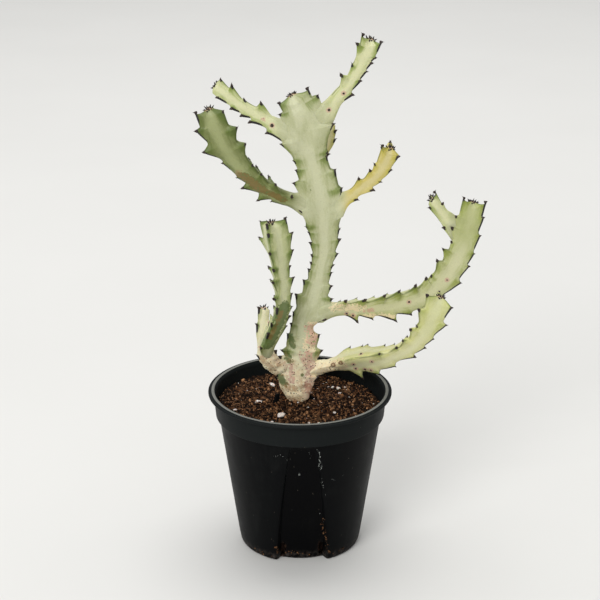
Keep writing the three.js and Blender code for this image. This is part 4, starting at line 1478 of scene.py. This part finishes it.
def add_slit(shell, turn):
    """An upright box through the wall at an angle round the pot."""
    middle = WALL_FOOT_RADIUS - PANEL_INSET
    out = np.array([math.cos(turn), math.sin(turn), 0])
    side = np.array([-math.sin(turn), math.cos(turn), 0])
    reach, half = SLIT["depth"] / 2, SLIT["width"] / 2
    points = [
        out * (middle + a * reach) + side * b * half + [0, 0, SLIT["z"] + c * SLIT["height"] / 2]
        for c in (-1, 1)
        for a, b in SQUARE
    ]
    faces = [(3, 2, 1, 0), (4, 5, 6, 7)] + [(j, (j + 1) % 4, (j + 1) % 4 + 4, j + 4) for j in range(4)]
    shell.add(points, faces)


def cut(piece, cutter):
    """Takes the cutter's bodies out of a piece and removes the cutter."""
    modifier = piece.modifiers.new("cut", "BOOLEAN")
    modifier.object = cutter
    modifier.operation = "DIFFERENCE"
    modifier.solver = "EXACT"
    graph = bpy.context.evaluated_depsgraph_get()
    mesh = bpy.data.meshes.new_from_object(piece.evaluated_get(graph))
    piece.modifiers.clear()
    piece.data = mesh
    bpy.data.objects.remove(cutter)


def make_pot():
    """The pot: a lofted wall with its floor, cut by the holes and slits."""
    outline = rounded(pot_outline())
    points = np.array([pot_ring(*station) for station in outline])
    places = np.vstack([points.reshape(-1, 3), [[0, 0, 0], [0, 0, FLOOR]]])
    shell = Shell()
    shell.add(places, ring_faces(len(points), points.shape[1]))
    piece = shell.piece("nursery_pot_fine", [pot_plastic()])
    cut(piece, cutters())
    mark_pot(piece)
    return dress(piece, "pot_plastic", "nursery_pot")


def surface_of(piece):
    """The piece's surface, in millimetres, for rays."""
    places = [v.co / MM for v in piece.data.vertices]
    return BVHTree.FromPolygons(places, [tuple(face.vertices) for face in piece.data.polygons])


def lumpy(random, ball, lumps):
    """A ball whose points are moved in and out at random."""
    return ball * random.uniform(*lumps, (len(ball), 1))


def make_traces(surface):
    """Thin whitish flakes where drops of water ran down the pot and dried."""
    random = np.random.default_rng(SEEDS["traces"])
    ball, faces = blob(1)
    shell = Shell()
    for count, mean_size, *pixels in TRACES:
        shares = np.sort(random.uniform(0, 1, count))
        for pixel in smooth_line(np.array(pixels, float), shares)[0]:
            spot = seen_on(surface, pixel + random.normal(size=2) * TRACE["stray"])
            if spot is None:
                continue
            across = unit(np.cross(spot[1], [0.0, 0.0, 1.0]))
            way = np.array([across, np.cross(spot[1], across), spot[1]])
            size = mean_size * random.uniform(*TRACE["sizes"])
            flake = [size * TRACE["narrow"], size, TRACE["height"]]
            shape = lumpy(random, ball, TRACE["lumps"]) * flake
            shell.add(shape @ way + spot[0], faces, marks=(random.uniform(), 0, 0, 0))
    return dress(shell.piece("dried_traces", [dried_trace()]), "pot_plastic")


def make_stuck_crumbs(surface):
    """Crumbs of mix that washed out of the slits and stick to the pot's foot."""
    random = np.random.default_rng(SEEDS["crumbs"])
    ball, faces = blob(1)
    shell = Shell()
    for count, first, last in STUCK:
        for share in random.uniform(0, 1, count):
            stray = random.normal(size=2) * CRUMB["stray"]
            spot = seen_on(surface, np.array(first) + share * (np.array(last) - first) + stray)
            if spot is None:
                continue
            size = random.uniform(*CRUMB["sizes"])
            shape = lumpy(random, ball, CRUMB["lumps"]) * size * CRUMB["shape"]
            place = spot[0] + spot[1] * size * CRUMB["raised"]
            place[2] = max(place[2], size)
            tone = CRUMB["tone"] * random.uniform() ** CRUMB["dullness"]
            shell.add(shape @ random_turn(random).T + place, faces, marks=(tone, 0, 0, 0))
    return dress(shell.piece("stuck_crumbs", [mix_crumb(PLAIN_REDNESS)]), "potting_mix")


@once
def dried_trace():
    """Chalky grey-white film; each flake's own tone is in its first mark."""
    s = Shader("dried_trace")
    thin = s.wobble(s.marks("marks")[0], s.noise(900, 4, 0.7, 0.5), 0.8)
    colour = s.blend(s.band(thin, 0.2, 0.9), TRACE_TONES)
    s.set(Base_Color=colour, Roughness=s.scaled(thin, 0.2, 0.6), Specular_IOR_Level=0.1)
    s.bump(thin, 0.3, 0.0002)
    return s.material


@once
def pot_plastic():
    """Black plastic: greyer on the collar, partly its matt finish and partly painted light from above,
    with a painted highlight along the top ridge, glossier in the panels.
    """
    s = Shader("black_pot_plastic")
    collar, panel, foot, dirt = s.marks("marks")
    dust = s.noise(45, 5, 0.65, 0.6)
    streak = s.noise(220, 4, 0.6, 0.2, (1, 1, 0.1))
    grain = s.noise(2600, 2)
    # The collar is greyer: partly its matt finish, partly painted light from above
    colour = s.blend(s.band(collar, 0.0, 0.5), POT_TONES)
    colour = s.mix(panel, colour, linear(POT_PAINTS["panel"]))
    smeared = s.band(s.plus(s.times(dust, 0.6), s.times(streak, 0.4)), 0.48, 0.72)
    scratched = s.band(s.cells(160, (1, 1, 0.25)), 0.05, 0.0)
    coats = {
        # Painted highlight along the rim's top ridge
        "ridge_highlight": (0.8, s.band(collar, 0.6, 0.9)),
        "smear": (0.03, s.times(smeared, s.scaled(panel, -0.8, 1.0))),
        "scratch": (0.3, s.times(scratched, s.band(dust, 0.5, 0.6))),
        "dust": (0.5, s.times(s.band(s.noise(300, 5, 0.7), 0.44, 0.64), foot)),
        "soil": (0.6, s.times(s.band(s.noise(420, 4, 0.7), 0.46, 0.62), s.band(dirt, 0.1, 0.8))),
        "speck": (0.5, s.times(s.band(s.cells(330), 0.12, 0.05), s.band(s.noise(120, 2), 0.56, 0.64))),
    }
    for paint, (strength, mask) in coats.items():
        colour = s.over(colour, mask, strength, POT_PAINTS[paint])
    rough = s.plus(s.times(collar, 0.1), s.times(dust, 0.3))
    rough = s.plus(s.plus(rough, 0.3), s.times(panel, -0.12))
    s.set(Base_Color=colour, Roughness=rough, Specular_IOR_Level=0.05)
    s.bump(s.plus(s.times(grain, 0.5), streak), 0.12, 0.0004)
    return s.material


def soil_inside():
    """Inside stations of the pot from the floor up, which the mix follows."""
    inner_top = COLLAR_Z - PANEL_FADE_HEIGHT - 1
    return [
        (PANEL_FADE_RADIUS - WALL, FLOOR + SOIL_GAP, 0, 0),
        (FOOT_RADIUS - WALL, FLOOR + SOIL_GAP, 1, WALL),
        (WALL_FOOT_RADIUS - WALL, WALL_FOOT_Z, 1, WALL),
        (wall_radius(inner_top) - WALL, inner_top, PANEL_TOP_SHARE, WALL),
        (WALL_TOP_RADIUS - WALL, COLLAR_Z + 0.5, 0, 0),
        (COLLAR_FOOT_RADIUS - WALL, COLLAR_Z + 1.5, 0, 0),
    ]


SOIL_EDGE = COLLAR_FOOT_RADIUS - WALL - SOIL_GAP


def soil_height(x, y):
    """Height of the mix's uneven top."""
    places = np.stack([x, y, np.zeros_like(x)], axis=-1)
    level = SOIL_Z + SOIL_DIP * (np.hypot(x, y) / SOIL_EDGE - 0.5) - SOIL_TILT * x
    return level + layered(places, SOIL_WAVES)


def soil_at(x, y):
    """Height of the mix's top at one place."""
    return float(soil_height(np.array([x]), np.array([y]))[0])


def make_soil():
    """The mix that fills the pot, with a finely uneven top."""
    side = [pot_ring(*station, SOIL_GAP) for station in soil_inside()]
    top = []
    for share in np.linspace(1, SOIL_RINGS["inner"], SOIL_RINGS["count"]):
        ring = pot_ring(SOIL_EDGE * share, SOIL_Z, 0)
        ring[:, 2] = soil_height(ring[:, 0], ring[:, 1])
        top.append(ring)
    rings = np.array([*side, *top])
    poles = [[0, 0, FLOOR + SOIL_GAP], [0, 0, soil_at(0.0, 0.0)]]
    places = np.vstack([rings.reshape(-1, 3), poles])
    shell = Shell()
    shell.add(places, ring_faces(len(rings), rings.shape[1]))
    piece = shell.piece("potting_mix_fine", [mix_crumb(PLAIN_REDNESS)])
    return dress(piece, "potting_mix", "potting_mix")


@once
def mix_crumb(redness):
    """Dark brown mix; each crumb's own tone is in its first mark, a fibre's redness in its second."""
    s = Shader("mix_fibre" if redness == FIBRE_REDNESS else "mix_crumb")
    tone, shade = s.marks("marks")[:2]
    grit = s.noise(900, 4, 0.7)
    colour = s.mix(s.band(grit, 0.35, 0.7), s.blend(tone, MIX_DARK), s.blend(tone, MIX_LIGHT))
    colour = s.over(colour, shade, redness, COIR)
    s.set(Base_Color=colour, Roughness=s.scaled(grit, 0.2, 0.7), Specular_IOR_Level=0.1)
    s.bump(grit, 0.6, 0.0006)
    return s.material


def blob(divisions):
    """Points and faces of a ball of twenty triangles, or of eighty with 2 divisions."""
    made = bmesh.new()
    bmesh.ops.create_icosphere(made, subdivisions=divisions, radius=1)
    points = np.array([v.co for v in made.verts])
    faces = [tuple(v.index for v in face.verts) for face in made.faces]
    made.free()
    return points, faces


def random_turn(random):
    """A rotation matrix with no preferred direction."""
    matrix, _ = np.linalg.qr(random.normal(size=(3, 3)))
    return matrix * np.sign(np.linalg.det(matrix))


def scattered(random, reach):
    """A place on the mix's top, even over its area."""
    turn = random.uniform(0, 2 * math.pi)
    away = reach * math.sqrt(random.uniform(0, 1))
    x, y = away * math.cos(turn), away * math.sin(turn)
    return x, y


# Crumbs and fibres: edge is their distance from the pot's wall and raised how high they lie
CHIPS = {"count": 4600, "sizes": (0.45, 1.7), "smallness": 2.2, "lumps": (0.75, 1.2),
         "stretch": ((0.8, 0.5, 0.35), (1.5, 0.9, 0.7)), "edge": 0.6, "raised": 0.5, "dullness": 4}
FIBRES = {"count": 2600, "lengths": (2.5, 7), "radius": 0.16, "bend": 0.5, "steep": 0.25, "edge": 3,
          "raised": (0.3, 1.4), "taper": (0.5, 1, 1, 0.9, 0.4), "radii": (0.6, 1.5),
          "section": (0.5, 2.6, 4.7), "dullness": (3, 4)}


def make_chips():
    """Crumbs and chips of bark lying on the mix."""
    random = np.random.default_rng(SEEDS["chips"])
    ball, faces = blob(1)
    least, most = CHIPS["sizes"]
    shell = Shell()
    for _ in range(CHIPS["count"]):
        x, y = scattered(random, SOIL_EDGE - CHIPS["edge"])
        size = least + (most - least) * random.uniform() ** CHIPS["smallness"]
        stretch = size * random.uniform(*CHIPS["stretch"])
        shape = lumpy(random, ball, CHIPS["lumps"]) * stretch
        z = soil_at(x, y) + size * random.uniform(0, CHIPS["raised"])
        tone = random.uniform() ** CHIPS["dullness"]
        shell.add(shape @ random_turn(random).T + [x, y, z], faces, marks=(tone, 0, 0, 0))
    piece = shell.piece("mix_chips", [mix_crumb(PLAIN_REDNESS)])
    return dress(piece, "potting_mix")


def fibre(random, x, y, z):
    """A short bent coir fibre lying nearly flat."""
    length = random.uniform(*FIBRES["lengths"])
    turn = random.uniform(0, 2 * math.pi)
    bend = random.normal() * FIBRES["bend"]
    count = len(FIBRES["taper"])
    angles = turn + bend * np.linspace(-1, 1, count)
    level = np.stack([np.cos(angles), np.sin(angles), np.zeros(count)], 1)
    line = np.cumsum((level + [0, 0, random.normal() * FIBRES["steep"]]) * length / count, axis=0)
    line = line - line.mean(axis=0) + [x, y, z]
    side = np.cross([0, 0, 1.0], level)
    radius = FIBRES["radius"] * np.array(FIBRES["taper"]) * random.uniform(*FIBRES["radii"])
    ways = [side * math.cos(a) + np.array([0, 0, math.sin(a)]) for a in FIBRES["section"]]
    rings = np.stack([line + way * radius[:, None] for way in ways], axis=1)
    return np.vstack([rings.reshape(-1, 3), line[0], line[-1]]), ring_faces(count, len(ways))


def make_fibres():
    """Reddish coir fibres among the crumbs."""
    random = np.random.default_rng(SEEDS["fibres"])
    shell = Shell()
    for _ in range(FIBRES["count"]):
        x, y = scattered(random, SOIL_EDGE - FIBRES["edge"])
        z = soil_at(x, y) + random.uniform(*FIBRES["raised"])
        points, faces = fibre(random, x, y, z)
        tone, redness = (random.uniform() ** power for power in FIBRES["dullness"])
        shell.add(points, faces, marks=(tone, redness, 0, 0))
    piece = shell.piece("mix_fibres", [mix_crumb(FIBRE_REDNESS)])
    return dress(piece, "potting_mix")


# Perlite grains that the photograph shows, each by its pixel and half width in mm, and smaller
# ones spread by rule
PERLITE_SEEN = [
    (272, 385.5, 2.9), (258.5, 402.5, 2.5), (235, 410, 1.6), (281, 416, 3.4), (262, 420, 1.3),
    (272, 422, 1.2), (332.5, 387.5, 1.9), (338.5, 388.5, 2.0), (345, 387.5, 1.5), (340, 393.5, 1.6),
    (324, 384, 1.1), (334, 413, 1.7), (309, 423, 1.2), (319, 423, 1.0), (318, 389, 0.9),
    (298, 402.5, 1.0), (303, 400, 1.2), (307.5, 396, 1.3), (311.5, 393, 1.1),
]
PERLITE = {"count": 60, "sizes": (0.3, 0.8), "edge": 2, "lump": 0.3, "lump_size": 3.2 / 3,
           "turn": 0.4, "tilt": 0.2, "stretch": ((0.9, 0.5, 0.36), (1.1, 0.75, 0.48)), "raised": 0.3}


def make_perlite():
    """White uneven grains of perlite that lie flat in the mix."""
    random = np.random.default_rng(SEEDS["perlite"])
    ball, faces = blob(2)
    grains = [(*on_mix(pixel), size) for *pixel, size in PERLITE_SEEN]
    for _ in range(PERLITE["count"]):
        place = scattered(random, SOIL_EDGE - PERLITE["edge"])
        grains.append((*place, random.uniform(*PERLITE["sizes"])))
    shell = Shell()
    for x, y, size in grains:
        lumps = unevenness(ball, PERLITE["lump_size"], random.integers(1000))[:, None]
        lumps = 1 + PERLITE["lump"] * lumps
        shape = ball * lumps * size * random.uniform(*PERLITE["stretch"])
        turn = random.normal() * PERLITE["turn"]
        tilt = [random.normal() * PERLITE["tilt"], random.normal() * PERLITE["tilt"], 1]
        way = np.array([[math.cos(turn), math.sin(turn), 0], [-math.sin(turn), math.cos(turn), 0], tilt])
        z = soil_at(x, y) + (size + 1) * PERLITE["raised"]
        shell.add(shape @ way + [x, y, z], faces)
    piece = shell.piece("perlite_grains", [perlite()])
    return dress(piece, "potting_mix")


# Height over the mix at which a pixel's place is first looked for and then taken
GUESS = {"over": 1.0, "rounds": 3, "raised": 0.6}


def on_mix(pixel):
    """X and Y of the place on the mix's top that a pixel shows."""
    height = SOIL_Z + GUESS["over"]
    for _ in range(GUESS["rounds"]):
        x, y = from_picture(pixel, height)[:2]
        height = soil_at(x, y) + GUESS["raised"]
    return x, y


# Thin dark slivers that stand half buried beside the trunk's foot: pixel, half width, height and lean,
# in mm
SLIVERS = [((275.5, 403), 2.0, 7.5, 1.5), ((311, 399), 2.6, 4.2, -3.0)]
SLIVER = {"sides": 12, "shares": (-0.5, 0.2, 0.6, 0.9, 1.0), "narrowing": 0.35, "thick": 0.35,
          "back": 0.8}


def make_slivers():
    """Thin dark slivers, in the pot's plastic material, stuck into the mix."""
    shell = Shell()
    turns = np.arange(SLIVER["sides"]) * 2 * math.pi / SLIVER["sides"]
    for pixel, half_width, height, lean in SLIVERS:
        x, y = on_mix(pixel)
        z = soil_at(x, y)
        rings = []
        for share in SLIVER["shares"]:
            width = half_width * (1 - SLIVER["narrowing"] * max(share, 0) ** 3)
            section = [width * np.cos(turns), SLIVER["thick"] * np.sin(turns), 0 * turns]
            middle = [x + lean * share, y + SLIVER["back"] * share, z + height * share]
            rings.append(np.stack(section, axis=1) + middle)
        rings = np.array(rings)
        poles = [rings[0].mean(axis=0), rings[-1].mean(axis=0)]
        shell.add(np.vstack([rings.reshape(-1, 3), poles]), ring_faces(len(rings), len(turns)))
    return dress(shell.piece("dark_slivers", [pot_plastic()]), "pot_plastic")


@once
def perlite():
    """Chalky white with dirt in its pits."""
    s = Shader("perlite")
    pits = s.noise(1300, 4, 0.7)
    colour = s.blend(s.band(pits, 0.42, 0.62), PERLITE_TONES)
    s.set(Base_Color=colour, Roughness=s.scaled(pits, 0.2, 0.7), Subsurface_Weight=0.1,
          Subsurface_Scale=0.002)
    s.bump(pits, 0.5, 0.0005)
    return s.material


@once
def studio_floor():
    """Pale matt paper."""
    s = Shader("studio_floor")
    colour = s.blend(s.noise(4, 3), FLOOR_TONES)
    s.set(Base_Color=colour, Roughness=s.scaled(s.noise(40), 0.1, 0.75))
    return s.material


# Floor, lights and surroundings, in metres and watts: a light is its name, place, target, size
# and power
FLOOR_HALF = 9.0
FLOOR_Z = -0.00005
LIGHTS = [
    ("key", (-1.3, -2.6, 2.1), (0, 0, 0.18), 2.0, 76),
    ("top", (0.1, 1.2, 3.0), (0, 1.2, 0), 3.0, 62),
]
SURROUNDINGS = {"colour": (232, 233, 235), "strength": 0.55}


def make_floor():
    """A plain pale floor, just below the pot."""
    mesh = bpy.data.meshes.new("floor")
    places = [(x * FLOOR_HALF, y * FLOOR_HALF, FLOOR_Z) for x, y in SQUARE]
    mesh.from_pydata(places, [], [(0, 1, 2, 3)])
    mesh.materials.append(studio_floor())
    floor = bpy.data.objects.new("floor", mesh)
    bpy.context.scene.collection.objects.link(floor)


def make_camera():
    """A camera at the photograph's place, with its angle of view."""
    data = bpy.data.cameras.new("camera")
    data.sensor_width = SENSOR
    data.lens = FOCAL_PX / PICTURE * SENSOR
    camera = bpy.data.objects.new("camera", data)
    camera.location = CAMERA_PLACE * MM
    camera.rotation_euler = (math.pi / 2 - CAMERA_PITCH, 0, 0)
    bpy.context.scene.collection.objects.link(camera)
    bpy.context.scene.camera = camera


def area_light(name, place, target, size, power):
    """A round soft light that faces its target."""
    data = bpy.data.lights.new(name, "AREA")
    data.shape = "DISK"
    data.size = size
    data.energy = power
    light = bpy.data.objects.new(name, data)
    light.location = place
    light.rotation_euler = (Vector(target) - Vector(place)).to_track_quat("-Z", "Y").to_euler()
    bpy.context.scene.collection.objects.link(light)


def make_lights():
    """Two soft lights in pale even surroundings."""
    for light in LIGHTS:
        area_light(*light)
    world = bpy.data.worlds.new("world")
    world.use_nodes = True
    background = world.node_tree.nodes["Background"]
    background.inputs["Color"].default_value = linear(SURROUNDINGS["colour"])
    background.inputs["Strength"].default_value = SURROUNDINGS["strength"]
    bpy.context.scene.world = world
    bpy.context.scene.view_settings.view_transform = "Standard"


make_camera()
make_lights()
make_floor()
pot_surface = surface_of(make_pot())
make_traces(pot_surface)
make_stuck_crumbs(pot_surface)
make_soil()
make_chips()
make_fibres()
make_perlite()
make_slivers()
carriers = {}
for stem_name in STEMS:
    make_stem(stem_name, carriers)
